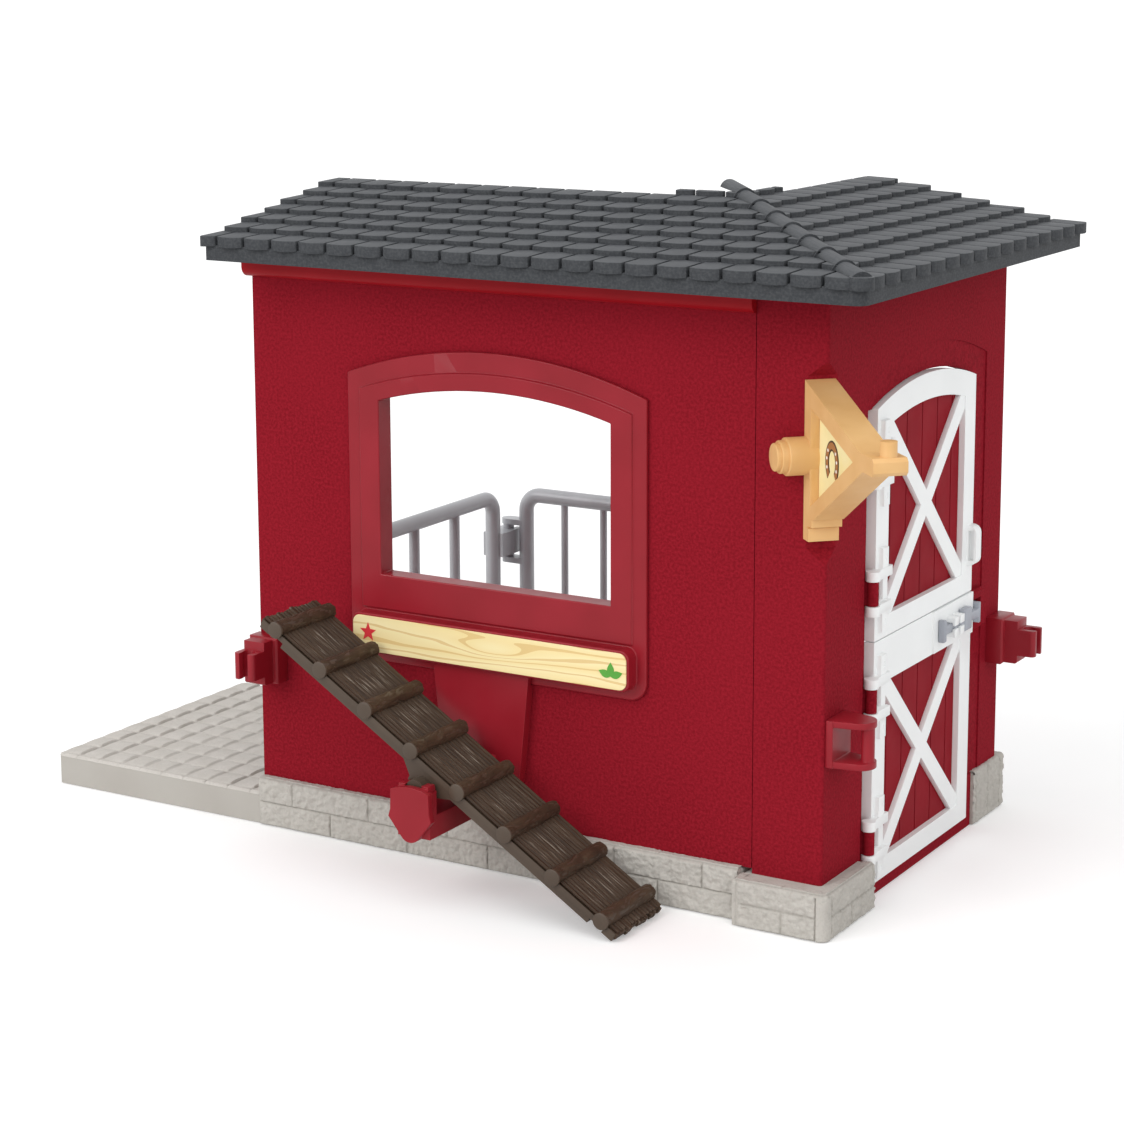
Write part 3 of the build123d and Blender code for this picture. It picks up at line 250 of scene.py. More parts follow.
rampPivot, rampTilt = Vector((-99.0, 0.0, 31.0)) * mm, math.radians(31.95)
rampTurn = (0, rampTilt, 0)
finishes = {
    "red_textured": sparkedPlastic("finelyTexturedRed", {
        "dark": "7c1520", "light": "931d2a", "grain": 0.75, "patch": 35.0, "depth": 0.09,
        "roughness": 0.65, "specular": 0.02}),
    "red_smooth": smoothPlastic("satinRed", {
        "dark": "8d1924", "light": "981d2a", "roughness": 0.33, "specular": 0.28}),
    "stone_grey": castStone("stoneGrey", {
        "dark": "b9b5ae", "light": "c3bfb8", "pit": "a6a29b", "relief": 0.34,
        "joint": "8d8981", "jointShade": 0.5}),
    "paving_grey": castStone("pavingGrey", {
        "dark": "c2bdb6", "light": "ccc7c1", "pit": "b1ada6", "relief": 0.1,
        "joint": "8f8a83", "jointShade": 0.4}),
    # roof_grey's edge colour is painted shade for the faces that don't look up
    "roof_grey": slateGrey("slateGrey", {
        "dark": "525457", "light": "5b5d60", "edge": "3f4144", "fleck": "6a6c6e",
        "roughness": 0.55, "specular": 0.1, "patch": 9.0, "grain": 0.7, "depth": 0.03,
        "stretch": (9.0, 9.0, 0.32), "line": 1.5, "layers": 0.14}),
    "bark_brown": barkBrown("barkBrown", {
        "dark": "37291f", "mid": "4a392d", "pale": "9a8b7c", "stretch": (9.0, 1.0, 1.0), "line": 0.9,
        "dry": 0.75, "depth": 0.16}, rampTurn),
    "tan_plastic": smoothPlastic("tanPlastic", {
        "dark": "dfae70", "light": "ecc084", "roughness": 0.42, "specular": 0.4, "patch": 14.0}),
    "wood_label": printedWood("printedWoodGrain", {
        "heart": (-0.0935, 0, 0.0622), "eyeLong": 11.5, "eyeTall": 2.3, "eyeRings": 2.4, "spacing": 2.5,
        "stretch": (6.0, 1.0, 1.0), "drift": 7.0, "sway": 3.2, "thickness": 0.36,
        "pale": "f9e9b6", "mid": "f4dd9f", "line": "e0bd7c", "lineShade": 0.75, "roughness": 0.42,
        "specular": 0.4}),
    "picture_yellow": smoothPlastic("picturePrint", {
        "dark": "f7e6a4", "light": "fbeeb8", "roughness": 0.5, "patch": 8.0}),
    "door_white": smoothPlastic("satinWhite", {
        "dark": "f3f5f5", "light": "f8fafa", "roughness": 0.36, "specular": 0.5}),
    "bolt_grey": smoothPlastic("boltGrey", {
        "dark": "9fa3ac", "light": "abafb8", "roughness": 0.4, "specular": 0.5}),
    "fence_silver": smoothPlastic("silverPlastic", {
        "dark": "b2b3b7", "light": "c0c1c5", "roughness": 0.32, "specular": 0.5, "metallic": 0.1}),
    "logBark": barkBrown("logBark", {
        "dark": "38291d", "mid": "4c3a2a", "pale": "665443", "stretch": (1.0, 7.0, 1.0), "line": 0.8,
        "dry": 0.4, "depth": 0.22}, (0, 0, 0)),
    "plankBrown": rampPlank("plankBrown", {
        "dark": "3f2f22", "mid": "4e3c2c", "seam": "2b1f16", "pale": "968b7e", "stretch": (30.0, 1.0, 1.0),
        "line": 0.32, "pivot": rampPivot, "firstLog": -57.5, "bay": 16.71, "middle": -20.2, "wide": 21.0,
        "dry": 0.8, "depth": 0.1, "patch": 3.0, "roughness": 0.6, "specular": 0.3}, rampTurn),
}
plainLooks = {
    "rampBrown": {"dark": "493c31", "light": "524539", "roughness": 0.42, "specular": 0.4},
    "yardRim": {"dark": "b0aba4", "light": "b6b2ab", "roughness": 0.7, "specular": 0.2},
    "panelRed": {"dark": "861722", "light": "901a26", "roughness": 0.55, "specular": 0.05},
    "eaveRed": {"dark": "97141c", "light": "9f1620", "roughness": 0.32, "specular": 0.1, "depth": 0.0},
    "printRed": {"dark": "cf2a35", "light": "dc3a42", "roughness": 0.45},
    "printGreen": {"dark": "4f9a3a", "light": "62ad47", "roughness": 0.45},
    "printBrown": {"dark": "a06a3e", "light": "b27a4a", "roughness": 0.5},
    "printDark": {"dark": "33261e", "light": "3d2e24", "roughness": 0.5},
    "printWhite": {"dark": "f4f1ea", "light": "fbf8f2", "roughness": 0.5},
}
finishes.update({name: smoothPlastic(name, look) for name, look in plainLooks.items()})
slots = {row["node"]: row["material_slot"] for row in frame["record"]["subparts"]}
otherFinish = {"seesaw_ramp": "rampBrown", "yard_plate": "yardRim",
               "upper_door_panel": "panelRed", "lower_door_panel": "panelRed"}
for name, node in nodes.items():
    node.data.materials.clear()
    node.data.materials.append(finishes[otherFinish.get(name, slots[name])])
print("finishes made:", len(finishes))


def placed(name, data):
    item = bpy.data.objects.new(name, data)
    bpy.context.scene.collection.objects.link(item)
    return item


def finished(name, mesh, body, slot, finish=None, sharp=32.0):
    for polygon in mesh.polygons:
        polygon.use_smooth = True
    mesh.set_sharp_from_angle(angle=math.radians(sharp))
    mesh.materials.clear()
    mesh.materials.append(finishes[finish or slot])
    piece = placed(name, mesh)
    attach(piece, body)
    return piece


def opened(mesh):
    work = bmesh.new()
    work.from_mesh(mesh)
    return work


def meshFrom(work, name):
    mesh = bpy.data.meshes.new(name)
    bmesh.ops.recalc_face_normals(work, faces=work.faces)
    work.to_mesh(mesh)
    work.free()
    return mesh


def cutOff(work, geometry, spot, normal):
    # cuts the geometry off at a plane and closes the cut
    cut = bmesh.ops.bisect_plane(work, geom=geometry, dist=1e-7, plane_co=spot, plane_no=normal,
                                 clear_outer=True)
    rim = [e for e in cut["geom_cut"] if isinstance(e, bmesh.types.BMEdge) and e.is_valid and e.is_boundary]
    if rim:
        bmesh.ops.holes_fill(work, edges=rim, sides=0)


def roundedOver(work, edges, width):
    bmesh.ops.bevel(work, geom=edges, offset=width * mm, segments=2, profile=0.5, affect="EDGES")


def bandBetween(work, first, second):
    # the faces between two closed rings of vertices
    for i in range(len(first)):
        j = (i + 1) % len(first)
        work.faces.new((first[i], first[j], second[j], second[i]))


def softened(name, body, width, look, cut=None, notch=None):
    # a merged copy of a node with its edges rounded over, cut off and notched first where asked
    work = opened(nodes[name].data)
    bmesh.ops.remove_doubles(work, verts=work.verts, dist=2e-6)
    if cut:
        cutOff(work, work.verts[:] + work.edges[:] + work.faces[:], *cut)
    bmesh.ops.dissolve_limit(work, angle_limit=math.radians(look["merge"]), verts=work.verts, edges=work.edges)
    helper = placed("helper", meshFrom(work, name + "Rounded"))
    if notch:
        bite = helper.modifiers.new("bite", "BOOLEAN")
        bite.operation, bite.solver, bite.object = "DIFFERENCE", "EXACT", notch
    bevel = helper.modifiers.new("bevel", "BEVEL")
    bevel.width, bevel.segments = width * mm, 2
    bevel.limit_method, bevel.angle_limit = "ANGLE", math.radians(look["angle"])
    mesh = evaluated(helper, name + "Soft")
    piece = finished(name + "Soft", mesh, body, slots[name], sharp=look["sharp"])
    for polygon in mesh.polygons:
        polygon.use_smooth = polygon.area < look["flat"] * mm * mm
    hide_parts(name)


def evaluated(helper, name):
    bpy.context.view_layer.update()
    graph = bpy.context.evaluated_depsgraph_get()
    mesh = bpy.data.meshes.new_from_object(helper.evaluated_get(graph), depsgraph=graph)
    mesh.name = name
    bpy.data.objects.remove(helper)
    return mesh


def newTree(name, inputs):
    tree = bpy.data.node_groups.new(name, "GeometryNodeTree")
    tree.interface.new_socket("Geometry", in_out="OUTPUT", socket_type="NodeSocketGeometry")
    kinds = {float: "NodeSocketFloat", int: "NodeSocketInt"}
    for label, value in inputs.items():
        kind = kinds.get(type(value), "NodeSocketObject")
        socket = tree.interface.new_socket(label, in_out="INPUT", socket_type=kind)
        if kind != "NodeSocketObject":
            socket.default_value = value
    start = tree.nodes.new("NodeGroupInput")
    end = tree.nodes.new("NodeGroupOutput")
    return tree, start.outputs, end.inputs["Geometry"]


def sheet(tree, inputs):
    return add(tree, "GeometryNodeMeshGrid", Size_X=inputs["Length"], Size_Y=inputs["Width"],
               Vertices_X=inputs["Cells Long"], Vertices_Y=inputs["Cells Wide"]).outputs["Mesh"]


def joined(tree, x=0.0, y=0.0, z=0.0):
    return add(tree, "ShaderNodeCombineXYZ", X=x, Y=y, Z=z).outputs[0]


def lifted(tree, geometry, height):
    return add(tree, "GeometryNodeSetPosition", Geometry=geometry, Offset=joined(tree, z=height)).outputs[0]


def seededNoise(tree, place, inputs, roughness, detail=3.0, scale=1.0, distortion=0.0):
    return add(tree, "ShaderNodeTexNoise", noise_dimensions="4D", Vector=place, W=inputs["Seed"],
               Scale=scale, Detail=detail, Roughness=roughness, Distortion=distortion).outputs[0]


def coated(tree, geometry, finish, end):
    real = add(tree, "GeometryNodeRealizeInstances", Geometry=geometry)
    coat = add(tree, "GeometryNodeSetMaterial", Geometry=real.outputs[0], Material=finishes[finish])
    tree.links.new(coat.outputs[0], end)


def grown(name, tree, values):
    # runs the tree on an empty object and keeps the plain mesh
    helper = placed("helper", bpy.data.meshes.new("empty"))
    modifier = helper.modifiers.new("nodes", "NODES")
    modifier.node_group = tree
    for item in tree.interface.items_tree:
        if item.in_out == "INPUT" and item.name in values:
            modifier[item.identifier] = values[item.name]
    return evaluated(helper, name)


def reliefTree(name, stagger):
    # a flat sheet of blocks with joints between them, for a plinth or the yard
    tree, inputs, end = newTree(name, {
        "Length": 0.1, "Width": 0.01, "Cells Long": 200, "Cells Wide": 30, "Block Length": 0.02,
        "Course Height": 0.006, "Offset Long": 0.0, "Offset Wide": 0.0, "Joint": 0.0004,
        "Joint Softness": 0.5, "Relief": 0.0005, "Chisel": 0.0003, "Chisel Grain": 300.0, "Seed": 1.0})
    place = add(tree, "GeometryNodeInputPosition").outputs[0]
    moved = add(tree, "ShaderNodeVectorMath", operation="ADD")
    tree.links.new(place, moved.inputs[0])
    tree.links.new(joined(tree, inputs["Offset Long"], inputs["Offset Wide"]), moved.inputs[1])
    brick = add(tree, "ShaderNodeTexBrick", offset=stagger, Vector=moved.outputs[0], Scale=1.0,
                Mortar_Size=inputs["Joint"], Mortar_Smooth=inputs["Joint Softness"],
                Brick_Width=inputs["Block Length"], Row_Height=inputs["Course Height"])
    face = calc(tree, "SUBTRACT", 1.0, brick.outputs["Fac"])
    rough = seededNoise(tree, place, inputs, 0.6, 4.0, inputs["Chisel Grain"])
    carved = calc(tree, "MULTIPLY", calc(tree, "SUBTRACT", rough, 0.5), inputs["Chisel"], 4.0,
                  calc(tree, "POWER", face, 2.0))
    lift = calc(tree, "ADD", calc(tree, "MULTIPLY", face, inputs["Relief"]), carved)
    marked = add(tree, "GeometryNodeStoreNamedAttribute", Name="joint",
                 Geometry=lifted(tree, sheet(tree, inputs), lift))
    value = [s for s in marked.inputs if s.name == "Value" and s.type == "VALUE"][0]
    tree.links.new(brick.outputs["Fac"], value)
    coated(tree, marked.outputs[0], "stone_grey", end)
    return tree


stoneTree = reliefTree("stoneRelief", 0.5)
paverTree = reliefTree("paverRelief", 0.0)
print("stone relief trees made")


def wallPath(points, radius):
    # straight runs joined by round corners: gives a place and an outward normal at a distance
    runs, total, corners = [], 0.0, [Vector(p) for p in points]
    for i, (start, stop) in enumerate(zip(corners, corners[1:])):
        bends = i < len(corners) - 2
        way = (stop - start).normalized()
        first = start + way * (radius if i > 0 else 0.0)
        last = stop - way * (radius if bends else 0.0)
        runs.append((total, first, way, None))
        total += (last - first).length
        if bends:
            turn = (corners[i + 2] - stop).normalized()
            runs.append((total, last + turn * radius, way, turn))
            total += radius * math.pi / 2

    def at(distance):
        begin, spot, way, turn = [run for run in runs if distance >= run[0] - 1e-9 or run is runs[0]][-1]
        if turn is None:
            return spot + way * (distance - begin), Vector((way.y, -way.x))
        angle = (distance - begin) / radius
        out = way * math.sin(angle) - turn * math.cos(angle)
        return spot + out * radius, out
    return at, total


def stoneSheet(name, tree, look, long, wide, ahead):
    # the pattern is moved ahead by some millimetres along the sheet and across it
    cell = look["cell"] * mm
    return grown(name, tree, {
        "Length": long, "Width": wide, "Cells Long": int(long / cell), "Cells Wide": int(wide / cell),
        "Block Length": look["block"] * mm, "Course Height": look["course"] * mm,
        "Offset Long": long / 2 + ahead[0] * mm, "Offset Wide": wide / 2 + ahead[1] * mm,
        "Joint": look["joint"] * mm, "Joint Softness": 1.0, "Relief": look["relief"] * mm,
        "Chisel": look["chisel"] * mm, "Chisel Grain": look["grain"], "Seed": look["seed"]})


def wrappedStone(name, points, radius, height, look):
    # relief sheet bent along the plinth's outline, its top rounded over onto the ledge
    at, total = wallPath([(x * mm, y * mm) for x, y in points], radius * mm)
    crown = look["crown"] * mm
    straight = height * mm - crown
    tall = straight + crown * math.pi / 2 + look["ledge"] * mm
    # whole blocks and courses ahead, because the pattern is uneven below zero
    ahead = (look["start"] + 20 * look["block"], 40 * look["course"])
    mesh = stoneSheet(name, stoneTree, look, total, tall, ahead)
    joints = mesh.attributes["joint"].data
    for vert in mesh.vertices:
        along, up, out = vert.co.x + total / 2, vert.co.y + tall / 2, vert.co.z
        for middle, half in look.get("plain", ()):
            away = abs(along / mm - middle) - half
            if away < look["plainEdge"] and up < straight:
                joints[vert.index].value = 0.0 if away < 0 else look["plainShade"]
                out = look["relief"] * mm * (1.0 if away < 0 else 0.0)
        spot, normal = at(min(max(along, 0.0), total))
        if up < straight:
            side, high = out, up
        elif up < straight + crown * math.pi / 2:
            angle = (up - straight) / crown
            reach = crown + out * (1 - look["fade"] * angle / (math.pi / 2))
            side, high = reach * math.cos(angle) - crown, straight + reach * math.sin(angle)
        else:
            side, high = -crown - (up - straight - crown * math.pi / 2), height * mm + out * look["top"]
        foot = min(up / (look["foot"] * mm), 1.0)
        ends = min(along / (look["end"] * mm), 1.0) if up < straight else 1.0
        side -= (1 - foot) ** 2 * look["footIn"] * mm + (1 - ends) ** 2 * look["relief"] * mm
        vert.co = (spot.x + normal.x * side, spot.y + normal.y * side, high)
    finished(name, meshFrom(opened(mesh), name), "barn", "stone_grey", sharp=60)


plinthLook = {
    "cell": 0.3, "block": 26.0, "course": 6.75, "start": 14.3, "joint": 0.4, "relief": 0.5,
    "chisel": 0.6, "grain": 560.0, "ledge": 1.6, "crown": 0.8, "seed": 3.0, "plainEdge": 0.45,
    "plainShade": 0.8, "fade": 0.6, "top": 0.3, "foot": 0.5, "footIn": 0.25, "end": 0.6}
cornerLook = {**plinthLook, "course": 6.05, "start": 21.0, "seed": 8.0, "plain": ((29.8, 2.1), (4.2, 1.2))}
rearLook = {**plinthLook, "block": 8.6, "course": 17.0, "start": 3.0, "seed": 5.0}
# millimetres from a plinth or the yard plate to the stone sheet over it
skin = 0.05
low, high = (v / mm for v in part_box("front_plinth"))
wrappedStone("frontPlinthStones", [(low.x, low.y - skin), (high.x, low.y - skin)],
             1.0, high.z + skin, plinthLook)
low, high = (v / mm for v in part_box("corner_plinth"))
wrappedStone("cornerPlinthStones",
             [(low.x, -1.0), (low.x, low.y - skin), (high.x + skin, low.y - skin), (high.x + skin, high.y)],
             2.2, high.z + skin, cornerLook)
low, high = (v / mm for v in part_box("rear_plinth"))
wrappedStone("rearPlinthStones",
             [(high.x + skin, low.y), (high.x + skin, high.y + skin), (low.x, high.y + skin)],
             1.2, high.z + skin, rearLook)
print("plinth stones laid")


def yardPavers():
    look = {"cell": 0.42, "wide": 75.0, "block": 8.0, "course": 8.9, "first": 7.1, "firstRow": 1.6,
            "relief": 0.34, "joint": 0.3, "chisel": 0.05, "grain": 300.0, "edge": 0.8, "corner": 2.0,
            "lean": 0.6, "crown": 0.3, "steep": 1.8, "above": 0.03, "seed": 2.0}
    low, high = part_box("yard_plate")
    wide, deep = look["wide"] * mm, high.y - low.y
    ahead = (10 * look["block"] - look["first"], 10 * look["course"] - look["firstRow"])
    mesh = stoneSheet("yardPavers", paverTree, look, wide, deep, ahead)
    edge, bend, over = look["edge"] * mm, look["corner"] * mm, skin * mm
    for vert in mesh.vertices:
        x, y, lift = vert.co.x + wide / 2, vert.co.y + deep / 2, vert.co.z
        near = min(x, y, deep - y)
        dx, dy = bend - x, bend - min(y, deep - y)
        if dx > 0 and dy > 0:
            span = math.hypot(dx, dy)
            near = max(bend - span, 0.0)
            if span > bend:
                x = bend - dx * bend / span
                y = bend - dy * bend / span if y < deep / 2 else deep - bend + dy * bend / span
        column = ((x / mm - look["first"]) / look["block"]) % 1.0
        row = ((y / mm - look["firstRow"]) / look["course"]) % 1.0
        inside = 1.0 if y > look["firstRow"] * mm else 0.0
        bulge = 1 - (2 * row - 1) ** 2
        lean = look["lean"] * (column - 0.5) * min(bulge * look["steep"], 1.0)
        lift += (lean + look["crown"] * (bulge - 0.5)) * inside * mm
        drop = edge - math.sqrt(max(edge * edge - (edge - near) ** 2, 0.0)) if near < edge else 0.0
        vert.co = (low.x + x * (wide + over) / wide - (over if x < edge else 0),
                   low.y + y - (over if y < edge else 0), high.z + look["above"] * mm + lift - drop)
    finished("yardPavers", mesh, "barn", "paving_grey", sharp=60)


yardPavers()
print("yard paved")


def tileForm(look, pitch):
    # one tile: a bowed front edge, its top almost flat, its underside on the deck
    half, long = (pitch - look["gap"]) / 2, look["depth"] + look["lap"]
    across = [-1 + 2 * i / look["bowSteps"] for i in range(look["bowSteps"] + 1)]
    plan = [(half * t, look["bow"] * t * t) for t in across] + [(half, long), (-half, long)]
    work = bmesh.new()
    high, low = [], []
    for x, y in plan:
        high.append(work.verts.new((x * mm, y * mm, (look["front"] + look["rise"] * y / look["depth"]) * mm)))
        low.append(work.verts.new((x * mm, y * mm, look["fall"] * y * mm)))
    work.faces.new(high)
    work.faces.new(list(reversed(low)))
    bandBetween(work, low, high)
    bmesh.ops.recalc_face_normals(work, faces=work.faces)
    rims = [e for e in work.edges if all(v in high for v in e.verts) and e.calc_face_angle(0) > 0.3
            and min(v.co.y for v in e.verts) < (look["depth"] - 1) * mm]
    corners = [e for e in work.edges if abs(e.verts[0].co.z - e.verts[1].co.z) > 1 * mm
               and abs(abs(e.verts[0].co.x) - half * mm) < 1e-6 and e.verts[0].co.y < 3 * mm]
    roundedOver(work, rims + corners, look["round"])
    mesh = bpy.data.meshes.new("tileForm")
    work.to_mesh(mesh)
    work.free()
    return placed("tileForm", mesh)


def tileTree():
    tree, inputs, end = newTree("tileCourses", {
        "Tile": None, "Across": 20, "Courses": 7, "Pitch": 0.0084, "Course Depth": 0.009,
        "Course Rise": 0.0017, "Stagger": 0.5, "Tilt": 0.004, "Seed": 4})
    spanX, spanY = (calc(tree, "MULTIPLY", calc(tree, "SUBTRACT", inputs[count], 1.0), inputs[step])
                    for count, step in (("Across", "Pitch"), ("Courses", "Course Depth")))
    grid = add(tree, "GeometryNodeMeshGrid", Size_X=spanX, Size_Y=spanY, Vertices_X=inputs["Across"],
               Vertices_Y=inputs["Courses"])
    up = axes(tree, add(tree, "GeometryNodeInputPosition").outputs[0])[1]
    halfX, halfY = (calc(tree, "MULTIPLY", span, 0.5) for span in (spanX, spanY))
    course = calc(tree, "ROUND", calc(tree, "DIVIDE", calc(tree, "ADD", up, halfY), inputs["Course Depth"]))
    aside = calc(tree, "MULTIPLY", calc(tree, "MODULO", course, 2.0), inputs["Stagger"], inputs["Pitch"])
    offset = joined(tree, calc(tree, "ADD", aside, halfX), halfY,
                    calc(tree, "MULTIPLY", course, inputs["Course Rise"]))
    spots = add(tree, "GeometryNodeSetPosition", Geometry=grid.outputs["Mesh"], Offset=offset)
    tile = add(tree, "GeometryNodeObjectInfo", Object=inputs["Tile"])
    lean = add(tree, "FunctionNodeRandomValue", data_type="FLOAT_VECTOR", Seed=inputs["Seed"])
    least, most = [s for s in lean.inputs if s.type == "VECTOR"]
    least.default_value, most.default_value = (-1, -1, -1), (1, 1, 1)
    scaled = add(tree, "ShaderNodeVectorMath", operation="SCALE", Scale=inputs["Tilt"])
    tree.links.new([s for s in lean.outputs if s.type == "VECTOR"][0], scaled.inputs[0])
    laid = add(tree, "GeometryNodeInstanceOnPoints", Points=spots.outputs[0],
               Instance=tile.outputs["Geometry"], Rotation=scaled.outputs[0])
    coated(tree, laid.outputs[0], "roof_grey", end)
    return tree


tileLook = {
    "gap": 0.82, "depth": 9.0, "lap": 1.2, "front": 2.9, "rise": 0.37, "fall": 0.19, "bow": 1.1,
    "bowSteps": 8, "round": 0.24, "courses": 8, "courseRise": 1.72, "tilt": 0.003, "eave": -18.1,
    "deck": 165.6, "corner": 15.2, "ridge": 47.5}
frontWing = {"pitch": 8.95, "joint": -172.8, "stagger": 0.436, "across": 24, "seed": 9,
             "verge": lambda i: 66.5 if i == 7 else 177.3 - 0.7 * (i % 2)}
sideWing = {"pitch": 9.09, "joint": -121.9, "stagger": 0.46, "across": 18, "seed": 4,
            "verge": lambda i: 66.0 if i == 7 else 129.4 - 1.07 * i + 2.2 * (i % 2)}


def islands(work):
    left = set(work.verts)
    while left:
        group, queue = set(), [left.pop()]
        while queue:
            vert = queue.pop()
            group.add(vert)
            for edge in vert.link_edges:
                other = edge.other_vert(vert)
                if other in left:
                    left.discard(other)
                    queue.append(other)
        yield group


def trimmed(work, group, spot, normal):
    faces = {f for v in group if v.is_valid for f in v.link_faces}
    edges = {e for f in faces for e in f.edges}
    verts = {v for f in faces for v in f.verts}
    reach = [(v.co - spot).dot(normal) for v in verts]
    if max(reach, default=0) <= 0:
        return
    if min(reach) >= 0:
        bmesh.ops.delete(work, geom=list(verts), context="VERTS")
    else:
        cutOff(work, list(verts) + list(edges) + list(faces), spot, normal)


def tiledWing(name, node, wing, swap):
    # laid along x and trimmed there, then swapped over the hip where it is the side wing
    pitch = wing["pitch"]
    form = tileForm(tileLook, pitch)
    mesh = grown(name, tileCourses, {
        "Tile": form, "Across": wing["across"], "Courses": tileLook["courses"], "Pitch": pitch * mm,
        "Course Depth": tileLook["depth"] * mm, "Course Rise": tileLook["courseRise"] * mm,
        "Stagger": wing["stagger"], "Tilt": tileLook["tilt"], "Seed": wing["seed"]})
    bpy.data.objects.remove(form)
    work = opened(mesh)
    start = Vector((wing["joint"] - pitch / 2, tileLook["eave"], tileLook["deck"])) * mm
    for vert in work.verts:
        vert.co += start
    hip = Vector((1, 1, 0)).normalized()
    for group in list(islands(work)):
        course = round((min(v.co.y for v in group) / mm - tileLook["eave"]) / tileLook["depth"])
        cuts = [((-wing["verge"](course), 0, 0), (-1, 0, 0)), ((0, 0, 0), hip)]
        if course == 0:
            cuts.append(((tileLook["corner"], 0, 0), (1, 0, 0)))
        if course == tileLook["courses"] - 1:
            cuts.append(((0, tileLook["ridge"], 0), (0, 1, 0)))
        for spot, normal in cuts:
            trimmed(work, {v for v in group if v.is_valid}, Vector(spot) * mm, Vector(normal))
    if swap:
        for vert in work.verts:
            vert.co = Vector((-vert.co.y, -vert.co.x, vert.co.z))
    piece = finished(name, meshFrom(work, name), "barn", "roof_grey", sharp=24)
    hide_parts(node)


tileCourses = tileTree()
tiledWing("frontTileCourses", "front_tiles", frontWing, False)
tiledWing("sideTileCourses", "side_tiles", sideWing, True)
print("roof tiled")


# the ramp's skin is laid out level round the pivot and then tilted with the ramp
rampSpan = {"left": -62.3, "right": 64.3}
onRamp = Matrix.Translation(rampPivot) @ Matrix.Rotation(rampTilt, 4, "Y")


def rampDeck():
    look = {**rampSpan, "near": -31.8, "far": -8.6, "top": 6.14, "cell": 0.22, "cellLong": 0.66,
            "groove": 0.42, "plank": 1.55, "along": 25.0, "across": 900.0, "seam": 1600.0, "fibre": 0.4,
            "lift": 1.6, "seed": 5.0}
    long, wide = (look["right"] - look["left"]) * mm, (look["far"] - look["near"]) * mm
    values = {"Length": long, "Width": wide, "Cells Long": int(long / (look["cellLong"] * mm)),
              "Cells Wide": int(wide / (look["cell"] * mm)), "Groove": look["groove"] * mm,
              "Plank": look["plank"] * mm, "Seed": look["seed"]}
    tree, inputs, end = newTree("plankGrain", values)
    x, y, _ = axes(tree, add(tree, "GeometryNodeInputPosition").outputs[0])
    drawn = [calc(tree, "MULTIPLY", value, look[way]) for value, way in ((x, "along"), (y, "across"))]
    grain = seededNoise(tree, joined(tree, *drawn), inputs, 0.55, distortion=0.3)
    seam = calc(tree, "PINGPONG", y, calc(tree, "MULTIPLY", inputs["Plank"], 0.5))
    seam = calc(tree, "MINIMUM", calc(tree, "MULTIPLY", seam, look["seam"]), 1.0)
    fibre = calc(tree, "ADD", calc(tree, "MULTIPLY", grain, look["fibre"]), 1 - look["fibre"])
    height = calc(tree, "MULTIPLY", fibre, seam, inputs["Groove"], look["lift"])
    coated(tree, lifted(tree, sheet(tree, inputs), height), "plankBrown", end)
    mesh = grown("rampPlanks", tree, values)
    middle = Vector(((look["left"] + look["right"]) / 2, (look["near"] + look["far"]) / 2, look["top"])) * mm
    mesh.transform(onRamp @ Matrix.Translation(middle))
    finished("rampPlanks", mesh, "ramp", "bark_brown", "plankBrown", sharp=60)


def rampLogs():
    look = {**rampSpan, "count": 8, "inset": 4.8, "near": -32.35, "far": -8.05, "radius": 2.12,
            "top": 6.6, "bark": 0.42, "sides": 56, "rings": 4, "turns": 330.0, "twist": 0.0009,
            "across": 950.0, "along": 95.0, "gain": 3.0, "seed": 3.0}
    values = {"Count": look["count"], "Span": (look["right"] - look["left"] - 2 * look["inset"]) * mm,
              "Radius": look["radius"] * mm, "Length": (look["far"] - look["near"]) * mm,
              "Bark": look["bark"] * mm, "Seed": look["seed"]}
    tree, inputs, end = newTree("barkLogs", values)
    row = add(tree, "GeometryNodeMeshLine", mode="END_POINTS", Count=inputs["Count"],
              Offset=joined(tree, inputs["Span"]))
    log = add(tree, "GeometryNodeMeshCylinder", Vertices=look["sides"], Side_Segments=look["sides"],
              Fill_Segments=look["rings"], Radius=inputs["Radius"], Depth=inputs["Length"])
    turned = add(tree, "GeometryNodeTransform", Geometry=log.outputs["Mesh"], Rotation=(math.pi / 2, 0, 0))
    laid = add(tree, "GeometryNodeInstanceOnPoints", Points=row.outputs[0], Instance=turned.outputs[0])
    real = add(tree, "GeometryNodeRealizeInstances", Geometry=laid.outputs[0])
    x, y, z = axes(tree, add(tree, "GeometryNodeInputPosition").outputs[0])
    wave = calc(tree, "SINE", calc(tree, "MULTIPLY", y, look["turns"]))
    twist = calc(tree, "MULTIPLY", wave, look["twist"])
    x, z = (calc(tree, "MULTIPLY", calc(tree, "ADD", value, twist), look["across"]) for value in (x, z))
    ridges = seededNoise(tree, joined(tree, x, calc(tree, "MULTIPLY", y, look["along"]), z), inputs, 0.6)
    depth = calc(tree, "MULTIPLY", calc(tree, "SUBTRACT", ridges, 0.5), inputs["Bark"], look["gain"])
    push = add(tree, "ShaderNodeVectorMath", operation="SCALE", Scale=depth)
    tree.links.new(add(tree, "GeometryNodeInputNormal").outputs[0], push.inputs[0])
    barked = add(tree, "GeometryNodeSetPosition", Geometry=real.outputs[0], Offset=push.outputs[0])
    coated(tree, barked.outputs[0], "logBark", end)
    mesh = grown("rampLogs", tree, values)
    start = Vector((look["left"] + look["inset"], (look["near"] + look["far"]) / 2, look["top"])) * mm
    mesh.transform(onRamp @ Matrix.Translation(start))
    finished("rampLogs", mesh, "ramp", "bark_brown", "logBark", sharp=70)


